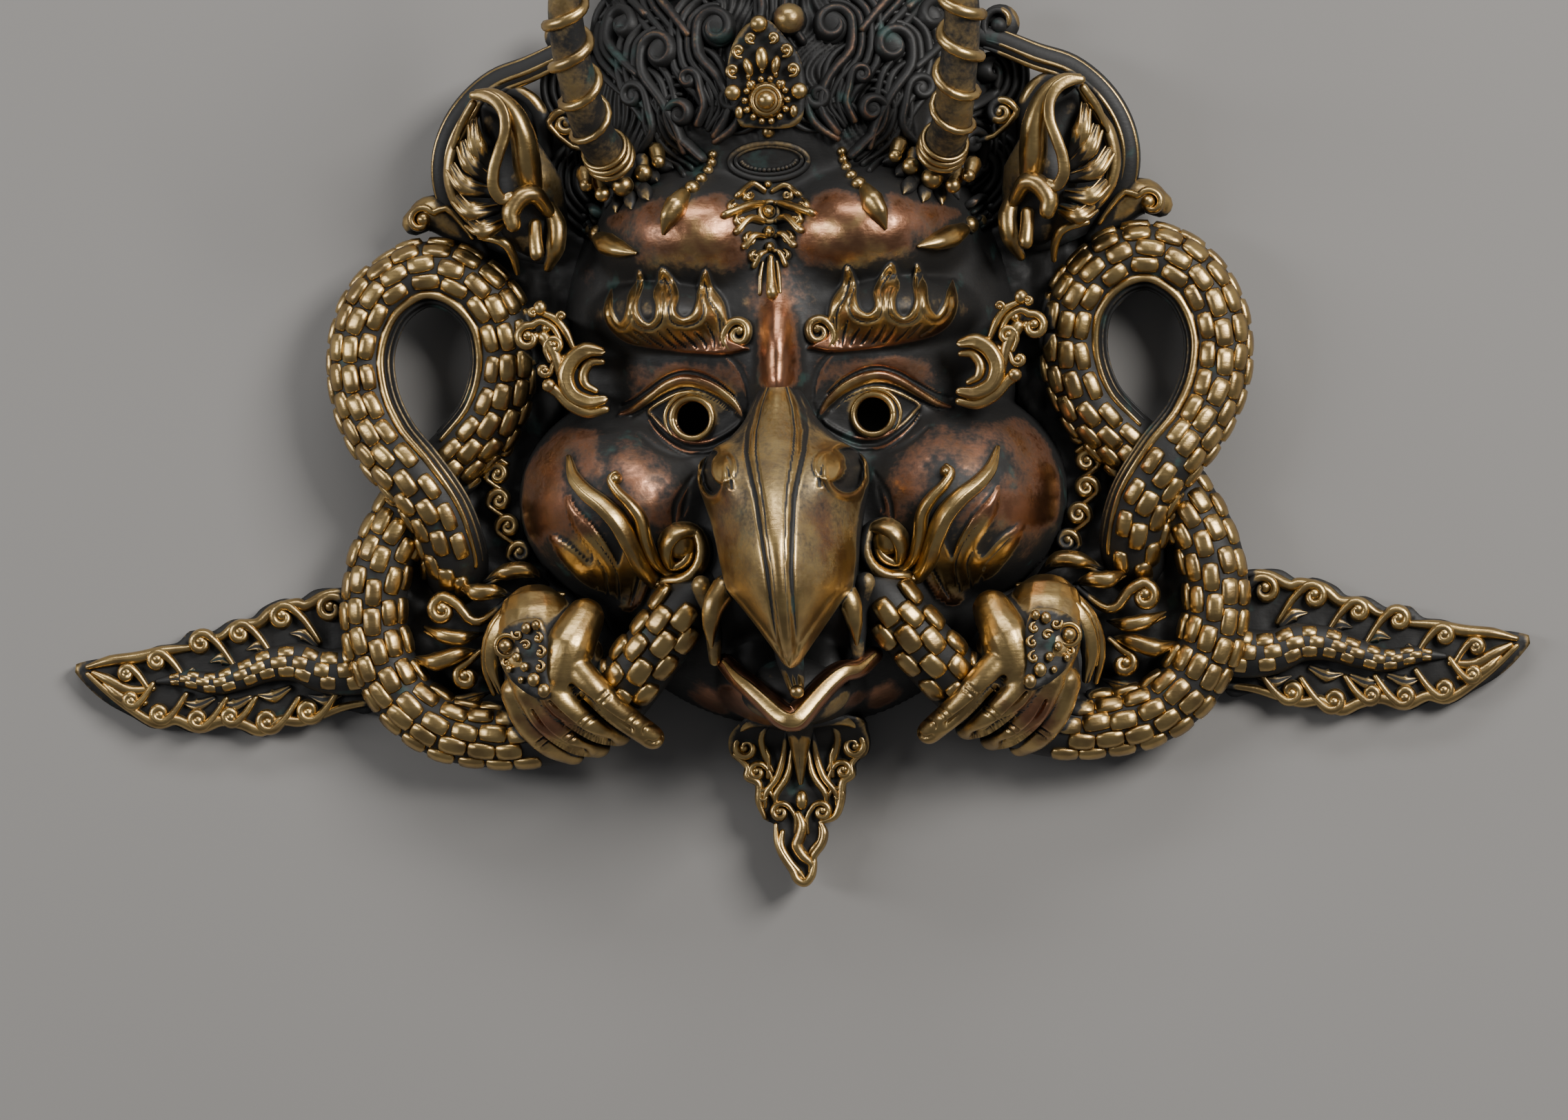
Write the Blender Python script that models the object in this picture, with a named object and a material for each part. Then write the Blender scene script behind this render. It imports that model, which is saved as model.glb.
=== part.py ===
"""Garuda mask: a hollow copper-alloy casting that lies on its flat back rim.

Places are in millimetres on the mask: x to the viewer's right, y up from the line of the eyes,
z out of the back rim. The right half is modelled and mirrored; the beak, the chin ornament and
the jewels of the brow stand on the middle line.
"""

import math

import bmesh
import bpy
import numpy as np
from mathutils import Matrix, Vector

# One millimetre in Blender's metres
MM = 0.001

# Casting
WALL = 5.0
SIDE_PLATE = 9.0
TAIL_PLATE = 7.0
SUNK = 4.0
VOXEL = 1.35
OUTER_TRIANGLES = 7900
CORE_STEP = 9.5
CORE_HALF_WIDTH = 98.0
CORE_FOOT = -112.0
FIELD_STEP = 2.5
SOFTNESS = 3.0

# Eyes
EYE_X = 31.0
EYE_Y = -2.3
EYE_HOLE_RADIUS = 5.8
EYE_RING_RADIUS = 7.2
EYE_RING_THICK = 1.7
LID_LENGTH = 34.0
LID_RISE = 12.0
LID_THICK = 2.6

# Beak
BEAK_LEAN = 4.0
BEAK_RIDGE_THICK = 3.0
NOSTRIL_X = 23.0
NOSTRIL_Y = -20.0
NOSTRIL_Z = 74.0
NOSTRIL_PIT_X = 27.0
NOSTRIL_PIT_Y = -21.0
NOSTRIL_PIT_Z = 84.0
NOSTRIL_PIT_HALF = 3.6
NOSTRIL_PIT_LENGTH = 7.0
NOSTRIL_PIT_DEPTH = 9.0
NOSTRIL_PIT_TURN = 14.0
FANG_RADIUS = 3.6

# Serpent
SERPENT_RADIUS = 11.8
SERPENT_RIDGE = 1.9
SERPENT_SCALE = 2.1

# Horns
HORN_RADIUS = 8.0
HORN_TIP_RADIUS = 3.0
HORN_TIP = (50.0, 188.0, 112.0)
WINDING_RADIUS = 2.2
WINDING_TURNS = 7

# Hands, hair and ornament
FINGER_RADIUS = 5.2
LOCK_RADIUS = 2.3
CURL_RADIUS = 1.9
BAND_RADIUS = 4.6
CREST_TOP = 196.0
CHIN_TIP = -163.0
CHIN_LEAN = 1.5

COPPER_ALLOY = {"color": (0.30, 0.19, 0.09, 1.0), "metallic": 0.95, "roughness": 0.42}


def clear_scene():
    """Remove the objects of the open file."""
    for thing in list(bpy.data.objects):
        bpy.data.objects.remove(thing, do_unlink=True)


def copper_material(name):
    """Principled copper alloy with the finish of the casting."""
    material = bpy.data.materials.new(name)
    material.use_nodes = True
    shader = material.node_tree.nodes["Principled BSDF"]
    shader.inputs["Base Color"].default_value = COPPER_ALLOY["color"]
    shader.inputs["Metallic"].default_value = COPPER_ALLOY["metallic"]
    shader.inputs["Roughness"].default_value = COPPER_ALLOY["roughness"]
    return material


def dome(x, y, centre_x, centre_y, reach_x, reach_y, top):
    """Height of half an ellipsoid; it goes below the rim outside its edge."""
    inside = 1.0 - ((x - centre_x) / reach_x) ** 2 - ((y - centre_y) / reach_y) ** 2
    return top * np.sign(inside) * np.sqrt(np.abs(inside))


def hump(x, y, centre_x, centre_y, reach_x, reach_y, rise):
    """Soft rise, or a hollow when rise is negative, to be added to a height."""
    return rise * np.exp(-((x - centre_x) / reach_x) ** 2 - ((y - centre_y) / reach_y) ** 2)


def head_height(x, y):
    """Height of the bare head over the back rim: skull, cheeks, brows, muzzle and crest."""
    across = np.abs(x)
    parts = (
        dome(across, y, 0.0, 22.0, 80.0, 90.0, 58.0),
        dome(across, y, 54.0, -30.0, 42.0, 38.0, 62.0),
        dome(across, y, 0.0, -50.0, 72.0, 60.0, 56.0),
        dome(across, y, 28.0, 60.0, 40.0, 30.0, 68.0),
        dome(across, y, 38.0, 33.0, 32.0, 17.0, 69.0),
        dome(across, y, 0.0, 14.0, 15.0, 44.0, 67.0),
        dome(across, y, 0.0, -90.0, 30.0, 22.0, 64.0),
        dome(across, y, 0.0, 106.0, 72.0, 62.0, 52.0),
        dome(across, y, 0.0, 146.0, 46.0, CREST_TOP - 154.0, 44.0),
    )
    height = SOFTNESS * np.log(sum(np.exp(part / SOFTNESS) for part in parts))
    height = height + hump(across, y, EYE_X, EYE_Y, 19.0, 13.0, -9.0)
    height = height + hump(across, y, EYE_X, EYE_Y, 10.0, 8.0, 5.0)
    height = height + hump(across, y, 60.0, 12.0, 7.0, 22.0, -5.0)
    return height + hump(across, y, 0.0, -86.0, 13.0, 11.0, -17.0)


def ground(x, y):
    """Height that an ornament rests on at one place."""
    return max(float(head_height(x, y)), SIDE_PLATE)


def lean(y):
    """Sideways lean of the beak, which grows downwards."""
    share = min(1.0, max(0.0, -y / 90.0))
    return BEAK_LEAN * share * share * (3.0 - 2.0 * share)


def smooth(points, spans=6):
    """Points along a smooth curve through the given ones."""
    rows = np.array(points, dtype=float)
    ends = np.vstack((2.0 * rows[0] - rows[1], rows, 2.0 * rows[-1] - rows[-2]))
    result = []
    for start in range(len(rows) - 1):
        before, first, second, after = ends[start:start + 4]
        for step in range(spans):
            share = step / spans
            bend = (2.0 * before - 5.0 * first + 4.0 * second - after) * share ** 2
            twist = (3.0 * first - before - 3.0 * second + after) * share ** 3
            result.append(0.5 * (2.0 * first + (second - before) * share + bend + twist))
    result.append(rows[-1])
    return result


def tube(shape, points, radii, sides=8, spans=6):
    """Round rod through points (x, y, z); radii run evenly along it."""
    path = smooth(points, spans)
    curve = bpy.data.curves.new("rod", "CURVE")
    curve.dimensions = "3D"
    curve.bevel_depth = MM
    curve.bevel_resolution = sides // 2 - 2
    curve.use_fill_caps = True
    spline = curve.splines.new("POLY")
    spline.points.add(len(path) - 1)
    shares = np.linspace(0.0, 1.0, len(path))
    widths = np.interp(shares, np.linspace(0.0, 1.0, len(radii)), radii)
    for place, width, point in zip(path, widths, spline.points):
        point.co = (place[0] * MM, place[1] * MM, place[2] * MM, 1.0)
        point.radius = width
    rod = bpy.data.objects.new("rod", curve)
    mesh = bpy.data.meshes.new_from_object(rod)
    shape.from_mesh(mesh)
    bpy.data.objects.remove(rod)
    bpy.data.curves.remove(curve)
    bpy.data.meshes.remove(mesh)


def draped(shape, points, radii, lift=0.5, spans=5):
    """Rod that follows the ground under it; points are (x, y)."""
    path = [(x, y, ground(x, y) + lift) for x, y in smooth(points, spans)]
    tube(shape, path, radii, sides=6, spans=1)


def curl(shape, centre, radius, start, turns, height, thick=CURL_RADIUS, stem=()):
    """Scroll that winds in from its rim; start is in degrees, turns below 0 go clockwise."""
    count = 14
    route = [(x, y, height) for x, y in stem]
    for step in range(count + 1):
        share = step / count
        angle = math.radians(start) + share * turns * math.tau
        reach = radius * (1.0 - 0.78 * share)
        place = (centre[0] + reach * math.cos(angle), centre[1] + reach * math.sin(angle))
        route.append((place[0], place[1], height + 0.8 * share))
    tube(shape, route, (thick, thick, thick * 0.9), sides=6, spans=2)


def ball(shape, centre, radii, turn=0.0, detail=3):
    """Ellipsoid bead; turn is in degrees about z."""
    size = Matrix.Diagonal((radii[0] * MM, radii[1] * MM, radii[2] * MM, 1.0))
    place = Matrix.Translation(Vector(centre) * MM)
    spin = Matrix.Rotation(math.radians(turn), 4, "Z")
    bmesh.ops.create_icosphere(shape, subdivisions=detail, radius=1.0,
                               matrix=place @ spin @ size)


def disc(shape, centre, radius, bottom, top):
    """Upright round plate."""
    place = Matrix.Translation(Vector((centre[0], centre[1], (bottom + top) / 2.0)) * MM)
    bmesh.ops.create_cone(shape, cap_ends=True, segments=20, radius1=radius * MM,
                          radius2=radius * MM, depth=(top - bottom) * MM, matrix=place)


def plate(shape, outline, bottom, top):
    """Flat plate with a smooth outline of (x, y) places."""
    edge = smooth(tuple(outline) + (outline[0],), 4)[:-1]
    verts = [shape.verts.new((x * MM, y * MM, bottom * MM)) for x, y in edge]
    face = shape.faces.new(verts)
    rise = bmesh.ops.extrude_face_region(shape, geom=[face])
    moved = [item for item in rise["geom"] if isinstance(item, bmesh.types.BMVert)]
    bmesh.ops.translate(shape, vec=(0.0, 0.0, (top - bottom) * MM), verts=moved)


def field(height, low, high, step, bottom, keep):
    """Closed block under a height over a grid; what lies under keep is left out."""
    shape = bmesh.new()
    counts = [int(round((high[axis] - low[axis]) / step)) for axis in (0, 1)]
    middle = Vector(((low[0] + high[0]) / 2.0, (low[1] + high[1]) / 2.0, 0.0))
    spread = Matrix.Diagonal(((high[0] - low[0]) / 2.0, (high[1] - low[1]) / 2.0, 1.0, 1.0))
    bmesh.ops.create_grid(shape, x_segments=counts[0], y_segments=counts[1], size=1.0,
                          matrix=Matrix.Translation(middle) @ spread)
    places = np.array([vert.co[:2] for vert in shape.verts])
    for vert, level in zip(shape.verts, height(places[:, 0], places[:, 1])):
        vert.co.z = level
    bmesh.ops.bisect_plane(shape, geom=shape.verts[:] + shape.edges[:] + shape.faces[:],
                           plane_co=(0.0, 0.0, keep), plane_no=(0.0, 0.0, 1.0),
                           clear_inner=True)
    bmesh.ops.scale(shape, vec=(MM, MM, MM), verts=shape.verts)
    rise = bmesh.ops.extrude_face_region(shape, geom=shape.faces[:])
    for item in rise["geom"]:
        if isinstance(item, bmesh.types.BMVert):
            item.co.z = bottom * MM
    bmesh.ops.recalc_face_normals(shape, faces=shape.faces)
    return shape


def add_block(shape, block):
    """Put one closed block's mesh with the others."""
    mesh = bpy.data.meshes.new("block")
    block.to_mesh(mesh)
    block.free()
    shape.from_mesh(mesh)
    bpy.data.meshes.remove(mesh)


def mirror_half(shape):
    """Add the left half as a mirrored copy of the right half."""
    everything = shape.verts[:] + shape.edges[:] + shape.faces[:]
    copy = bmesh.ops.duplicate(shape, geom=everything)["geom"]
    verts = [item for item in copy if isinstance(item, bmesh.types.BMVert)]
    faces = [item for item in copy if isinstance(item, bmesh.types.BMFace)]
    bmesh.ops.scale(shape, vec=(-1.0, 1.0, 1.0), verts=verts)
    bmesh.ops.reverse_faces(shape, faces=faces)


def add_eye(shape):
    """Ring round the pupil and the two lids that meet at the eye's corners."""
    level = ground(EYE_X, EYE_Y + EYE_RING_RADIUS) + 1.0
    ring = []
    for step in range(17):
        angle = step * math.tau / 16.0
        ring.append((EYE_X + EYE_RING_RADIUS * math.cos(angle),
                     EYE_Y + EYE_RING_RADIUS * math.sin(angle), level))
    tube(shape, ring, (EYE_RING_THICK,), sides=6, spans=1)
    for rise, lift in ((LID_RISE, 1.5), (LID_RISE + 5.0, 1.0), (-LID_RISE + 1.0, 0.5)):
        route = []
        for step in range(9):
            share = step / 8.0
            x = EYE_X + 2.0 + (share - 0.5) * LID_LENGTH
            y = EYE_Y - 1.0 + rise * math.sin(math.pi * share) ** 0.8 + 3.0 * share
            route.append((x, y))
        draped(shape, route, (1.0, LID_THICK, LID_THICK, 1.0), lift)


def add_brow(shape):
    """Flame-shaped brow: a scroll at the nose and a row of tongues above the eye."""
    draped(shape, ((20.0, 24.0), (34.0, 25.0), (48.0, 26.0), (60.0, 31.0)), (5.5, 5.0, 3.5), 1.0)
    curl(shape, (15.0, 26.5), 6.0, -60.0, -1.2, ground(15.0, 26.5) + 2.0, 2.3)
    tongues = ((22.0, 29.0, 29.0, 49.0), (37.0, 29.0, 42.0, 49.0), (49.0, 29.0, 52.0, 49.0),
               (58.0, 30.0, 61.0, 43.0))
    for foot_x, foot_y, tip_x, tip_y in tongues:
        middle = (foot_x - 1.5, (foot_y + tip_y) / 2.0)
        draped(shape, ((foot_x, foot_y), middle, (tip_x, tip_y)), (4.6, 4.2, 1.2), 1.0)


def add_cheek_scrolls(shape):
    """Moustache scroll and the flames low on the cheek."""
    route = ((40.5, -45.0), (44.0, -51.0), (50.0, -46.0), (52.0, -36.0), (60.0, -29.5),
             (76.0, -17.0))
    draped(shape, route, (3.4, 3.4, 2.8, 1.2), 1.5)
    second = ((45.0, -52.0), (52.0, -43.0), (55.0, -34.0), (66.0, -27.0))
    draped(shape, second, (2.4, 2.2, 1.4), 1.5)
    curl(shape, (39.5, -47.0), 6.6, 250.0, -1.3, ground(39.5, -47.0) + 3.0, 2.2)
    ball(shape, (59.5, -23.0, ground(59.5, -23.0) + 1.5), (2.2, 2.2, 2.2))
    for foot, tip in (((62.0, -60.0), (66.0, -40.0)), ((70.0, -60.0), (77.0, -31.0)),
                      ((76.0, -55.0), (84.0, -42.0))):
        draped(shape, (foot, ((foot[0] + tip[0]) / 2.0 - 2.0, (foot[1] + tip[1]) / 2.0), tip),
               (4.0, 3.4, 1.0), 0.0)


def add_temple_ornament(shape):
    """Openwork scroll in front of the ear, standing off the temple."""
    level = 47.0
    curl(shape, (70.0, 14.5), 9.5, 265.0, 0.62, level, 3.0, stem=((62.0, 4.0),))
    curl(shape, (88.0, 28.0), 7.0, 200.0, -0.9, level - 6.0, 2.4, stem=((79.0, 14.0),))
    tube(shape, ((77.0, 18.0, level), (80.0, 29.0, level), (85.0, 37.0, level - 4.0)),
         (3.6, 3.6, 2.6))
    for x, y in ((79.0, 8.0), (84.0, 16.0), (78.0, 36.0), (86.0, 40.0)):
        ball(shape, (x, y, level - 1.0), (3.2, 3.2, 3.2))
    for x, y in ((68.0, 6.0), (76.0, 22.0), (82.0, 33.0)):
        tube(shape, ((x, y, SIDE_PLATE), (x, y, level - 1.0)), (4.0, 3.0), spans=1)


def serpent_route():
    """Middle line of the serpent from the mouth, round both coils, to the tail."""
    return ((27.0, -58.0, 46.0), (35.0, -68.0, 50.0), (50.0, -86.0, 48.0), (65.0, -101.0, 36.0),
            (85.0, -109.5, 24.0), (105.0, -110.5, 17.0), (124.5, -106.0, 15.0),
            (139.5, -92.0, 15.0), (146.0, -72.0, 15.0), (144.0, -52.0, 15.0),
            (136.5, -36.0, 13.0), (128.0, -24.0, 11.0), (115.0, -12.0, 12.0),
            (104.0, 1.0, 15.0), (99.0, 18.0, 16.0), (101.5, 35.0, 17.0), (112.5, 47.0, 18.0),
            (127.0, 50.0, 18.0), (141.0, 41.0, 18.0), (148.0, 25.0, 18.0), (147.0, 8.0, 19.0),
            (140.5, -7.0, 21.0), (130.0, -20.0, 24.0), (121.5, -33.0, 22.0),
            (117.5, -48.0, 18.0), (119.5, -64.0, 10.0))


def add_serpent(shape):
    """Serpent body with its raised ridge and two rows of its largest scales."""
    route = serpent_route()
    thick = SERPENT_RADIUS
    tube(shape, route, (thick * 0.8, thick, thick, thick), sides=12, spans=5)
    path = smooth(route, 8)
    ridge = []
    for index in range(len(path) // 2, len(path) - 16, 6):
        ahead = path[index + 1] - path[index - 1]
        across = np.array((ahead[1], -ahead[0], 0.0)) / math.hypot(ahead[0], ahead[1])
        ridge.append(tuple(path[index] + across * thick * 0.55 + (0.0, 0.0, thick * 0.84)))
    tube(shape, ridge, (SERPENT_RIDGE,), sides=6, spans=3)
    for index in range(8, len(path) - 20, 9):
        ahead = path[index + 1] - path[index - 1]
        turn = math.degrees(math.atan2(ahead[1], ahead[0]))
        across = np.array((-ahead[1], ahead[0], 0.0)) / math.hypot(ahead[0], ahead[1])
        for side in (-0.05, 0.5):
            depth = thick * math.cos(math.asin(side))
            place = path[index] + across * thick * side + (0.0, 0.0, depth)
            ball(shape, place, (4.2, 3.0, SERPENT_SCALE), turn)


def add_tail(shape):
    """Tail fin: a leaf with scrolled edges and the serpent's thin end along it."""
    middle = ((146.0, -84.0), (168.0, -82.0), (190.0, -87.0), (212.0, -92.0), (236.0, -91.0),
              (254.0, -83.5))
    width = ((0.0, 13.0), (0.15, 19.0), (0.4, 18.0), (0.7, 13.0), (0.9, 7.0), (1.0, 0.8))
    path = smooth(middle, 5)
    shares = np.linspace(0.0, 1.0, len(path))
    reach = np.interp(shares, [row[0] for row in width], [row[1] for row in width])
    upper = [(place[0], place[1] + half) for place, half in zip(path, reach)]
    lower = [(place[0], place[1] - half) for place, half in zip(path, reach)]
    edge = [tuple(place) for place in upper[::4]] + [tuple(place) for place in lower[::-4]]
    plate(shape, edge, -SUNK, TAIL_PLATE)
    body = ((150.0, -84.0, 11.0), (168.0, -86.0, 11.0), (181.0, -82.0, 10.0),
            (195.0, -87.0, 9.0), (210.0, -89.0, 8.5), (228.0, -89.0, 8.0))
    tube(shape, body, (9.5, 8.0, 6.0, 1.5), sides=8)
    scrolls = ((163.0, -62.0, 6.5, 120.0), (178.0, -66.0, 6.0, 60.0), (195.0, -72.0, 5.5, 60.0),
               (212.0, -77.0, 5.0, 60.0), (228.0, -80.0, 4.5, 60.0), (170.0, -102.0, 6.0, 240.0),
               (185.0, -105.0, 6.0, 240.0), (201.0, -106.0, 5.0, 240.0),
               (216.0, -104.0, 5.0, 240.0), (231.0, -100.0, 4.5, 240.0))
    for x, y, radius, start in scrolls:
        disc(shape, (x, y), radius, -SUNK, TAIL_PLATE)
        turns = -1.1 if y > -90.0 else 1.1
        curl(shape, (x, y), radius - 1.0, start, turns, TAIL_PLATE, 1.6)
    tube(shape, ((232.0, -94.0, TAIL_PLATE), (245.0, -89.0, TAIL_PLATE), (253.5, -84.0, 6.0)),
         (2.0, 2.6, 1.0), sides=6)


def add_hand(shape):
    """Hand that grips the serpent: back of the hand, four fingers, cuff and jewel."""
    ball(shape, (83.0, -87.0, 38.0), (20.0, 17.0, 16.0), -25.0)
    ball(shape, (76.0, -84.0, 43.0), (11.0, 15.0, 14.0), -30.0)
    fingers = (
        ((76.0, -84.0, 48.0), (66.0, -97.0, 50.0), (57.0, -105.0, 46.0), (48.5, -111.5, 42.0)),
        ((82.0, -94.0, 48.0), (73.0, -103.0, 46.0), (62.0, -109.5, 38.0), (58.0, -109.0, 28.0)),
        ((90.0, -96.0, 44.0), (81.0, -108.0, 40.0), (70.0, -114.5, 31.0), (66.0, -114.0, 22.0)),
        ((97.0, -97.0, 38.0), (91.0, -109.0, 32.0), (80.0, -116.0, 24.0), (75.0, -116.0, 16.0)),
    )
    for route in fingers:
        thick = FINGER_RADIUS
        tube(shape, route, (thick * 1.15, thick, thick * 0.95, thick * 0.8), sides=10)
    tube(shape, ((84.0, -63.0, 30.0), (96.0, -66.0, 30.0), (105.0, -75.0, 28.0),
                 (109.0, -88.0, 24.0), (106.0, -98.0, 20.0)), (3.4, 3.8, 3.4))
    tube(shape, ((84.0, -70.0, 36.0), (96.0, -74.0, 36.0), (102.0, -84.0, 33.0),
                 (103.0, -95.0, 27.0)), (4.5, 5.0, 4.5))
    plate(shape, ((85.0, -73.0), (98.0, -76.0), (101.0, -86.0), (84.0, -98.0), (83.0, -86.0)),
          30.0, 54.0)
    ball(shape, (99.0, -80.0, 52.0), (3.6, 3.6, 3.6))
    for x, y in ((87.0, -79.0), (87.0, -87.0), (94.0, -86.0), (87.0, -94.0)):
        ball(shape, (x, y, 54.0), (3.0, 3.0, 2.6))


def add_foliage(shape):
    """Leaves behind the cuff and the small curls beside the cheek."""
    leaves = (
        ((88.0, -58.0), (98.0, -54.0), (107.0, -56.0), 4.5),
        ((103.0, -66.0), (111.0, -60.0), (119.0, -58.0), 4.5),
        ((110.0, -78.0), (121.0, -76.0), (131.0, -72.0), 4.8),
        ((112.0, -82.0), (124.0, -85.0), (136.0, -84.0), 4.8),
        ((108.0, -94.0), (116.0, -97.0), (126.0, -95.0), 4.0),
    )
    for foot, middle, tip, width in leaves:
        route = ((foot[0], foot[1], 14.0), (middle[0], middle[1], 21.0), (tip[0], tip[1], 17.0))
        tube(shape, route, (1.6, width, width, 1.2))
    curl(shape, (124.0, -67.0), 5.0, 150.0, -1.1, 19.0, 1.9, stem=((108.0, -66.0), (113.0, -71.0)))
    curl(shape, (117.0, -92.0), 4.5, 110.0, -1.1, 18.0, 1.9, stem=((109.0, -86.0),))
    for x, y in ((98.0, 2.0), (101.0, -8.0), (105.0, -18.0), (105.0, -28.0), (103.0, -38.0),
                 (100.0, -48.0)):
        curl(shape, (x, y), 3.6, 90.0, 1.0, SIDE_PLATE + 2.5, 1.7)


def add_side_plate(shape):
    """Ground plate that ties head, coils and hand together; it leaves the coil's eye open."""
    plate(shape, ((62.0, 84.0), (96.0, 66.0), (118.0, 62.0), (124.0, 44.0), (106.0, 36.0),
                  (101.0, 15.0), (110.0, -6.0), (134.0, -22.0), (142.0, -50.0),
                  (150.0, -84.0), (132.0, -106.0), (100.0, -110.0), (64.0, -100.0),
                  (40.0, -92.0), (30.0, 0.0)), -SUNK, SIDE_PLATE)


def add_plume(shape):
    """Openwork plume behind the ear, with a scroll at each end."""
    route = ((71.0, 128.0, 22.0), (84.0, 124.5, 22.0), (98.0, 119.0, 21.0), (109.0, 111.0, 20.0),
             (116.0, 101.0, 19.0), (119.0, 89.0, 18.0), (118.0, 76.0, 16.0),
             (110.0, 64.0, 12.0))
    tube(shape, route, (BAND_RADIUS, BAND_RADIUS, BAND_RADIUS * 1.1), sides=8)
    curl(shape, (78.0, 134.0), 6.5, 210.0, -1.0, 22.0, 2.8, stem=((76.0, 126.0),))
    curl(shape, (129.0, 68.0), 6.0, 150.0, -1.0, 20.0, 2.8, stem=((116.0, 62.0), (119.0, 71.0)))
    tube(shape, ((84.0, 92.0, 12.0), (86.0, 106.0, 16.0), (92.0, 114.0, 18.0),
                 (104.0, 113.0, 18.0)), (3.0, 3.0, 2.6))
    curl(shape, (76.0, 102.5), 5.6, 330.0, 1.1, 20.0, 2.3, stem=((66.0, 94.0), (76.0, 96.0)))


def add_ear(shape):
    """Pointed ear with a rolled rim and leaf lobes, standing out of the side plate."""
    ball(shape, (90.0, 76.0, 26.0), (14.0, 17.0, 20.0), -20.0)
    tube(shape, ((93.0, 70.0, 34.0), (95.0, 86.0, 38.0), (96.0, 100.0, 38.0),
                 (105.0, 113.0, 42.0)), (7.0, 8.5, 7.5, 1.6), sides=10)
    rim = ((97.0, 76.0, 46.0), (100.0, 82.0, 48.0), (97.0, 93.0, 48.0), (95.5, 105.0, 47.0),
           (100.0, 112.5, 46.0), (106.0, 114.0, 44.0))
    tube(shape, rim, (2.8, 2.8, 2.4, 1.0), sides=8)
    for tip in ((106.0, 104.0), (111.0, 96.0), (115.0, 87.0), (114.0, 79.0), (108.0, 71.0)):
        tube(shape, ((96.0, tip[1] - 14.0, 30.0), (102.0, tip[1] - 6.0, 37.0),
                     (tip[0], tip[1], 34.0)), (3.0, 4.2, 1.4), sides=8)
    tube(shape, ((80.0, 78.0, 34.0), (88.0, 78.0, 42.0), (94.0, 68.0, 42.0)), (4.5, 5.0, 4.0))
    tube(shape, ((86.0, 70.0, 34.0), (86.0, 58.0, 38.0)), (5.0, 3.0), sides=8)


def horn_route():
    """Middle line of the horn from its root in the hair to the tip."""
    return ((52.0, 84.0, 40.0), (55.0, 92.0, 63.0), (61.0, 107.0, 80.0), (66.0, 128.0, 92.0),
            (63.0, 150.0, 102.0), (55.0, 172.0, 109.0), HORN_TIP)


def add_horn(shape):
    """Horn in its collar of beads and petals, with a serpent wound round it."""
    route = horn_route()
    tube(shape, route, (HORN_RADIUS * 1.35, HORN_RADIUS, HORN_RADIUS * 0.8, HORN_TIP_RADIUS),
         sides=12)
    path = smooth(route, 40)[50:]
    winding = []
    count = len(path) - 1
    for index in range(0, count, 3):
        ahead = Vector(path[index + 1] - path[index]).normalized()
        side = ahead.cross(Vector((0.0, 0.0, 1.0))).normalized()
        front = side.cross(ahead)
        angle = index / count * WINDING_TURNS * math.tau
        reach = HORN_RADIUS * (1.0 - 0.5 * index / count) + WINDING_RADIUS * 0.4
        offset = (side * math.cos(angle) + front * math.sin(angle)) * reach
        winding.append(tuple(Vector(path[index]) + offset))
    tube(shape, winding, (WINDING_RADIUS, WINDING_RADIUS, WINDING_RADIUS * 0.7), sides=6, spans=1)
    foot = Vector(route[1])
    for step in range(9):
        angle = math.radians(150.0 + step * 30.0)
        x = foot.x - 1.0 + 13.0 * math.cos(angle)
        y = foot.y - 2.0 + 11.0 * math.sin(angle)
        ball(shape, (x, y, ground(x, y) + 2.0), (3.0, 3.0, 3.0))
        tip_x = foot.x - 1.0 + 19.0 * math.cos(angle)
        tip_y = foot.y - 3.0 + 17.0 * math.sin(angle)
        draped(shape, ((x, y), (tip_x, tip_y)), (2.8, 1.0), 0.5)
    for reach, lift in ((1.45, 0.0), (1.3, 3.5)):
        collar = []
        for step in range(17):
            angle = step * math.tau / 16.0
            collar.append((foot.x - 1.0 + HORN_RADIUS * reach * math.cos(angle),
                           foot.y + 1.0 + HORN_RADIUS * reach * 0.6 * math.sin(angle),
                           foot.z - 3.0 + lift - HORN_RADIUS * 0.7 * math.sin(angle)))
        tube(shape, collar, (2.0,), sides=6, spans=1)


def add_drops(shape):
    """Bead strings that end in a drop on the forehead and at the temple."""
    draped(shape, ((26.0, 88.0), (28.0, 82.0), (30.5, 77.5)), (2.2, 3.0), 1.0)
    draped(shape, ((33.0, 74.5), (36.5, 70.0), (40.0, 63.0)), (3.4, 5.0, 3.6, 0.9), 1.5)
    draped(shape, ((73.0, 66.0), (67.0, 60.0)), (2.6, 3.0), 1.0)
    draped(shape, ((65.0, 58.5), (58.0, 57.5), (50.0, 57.0)), (3.0, 4.6, 3.4, 0.9), 1.5)


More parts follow.
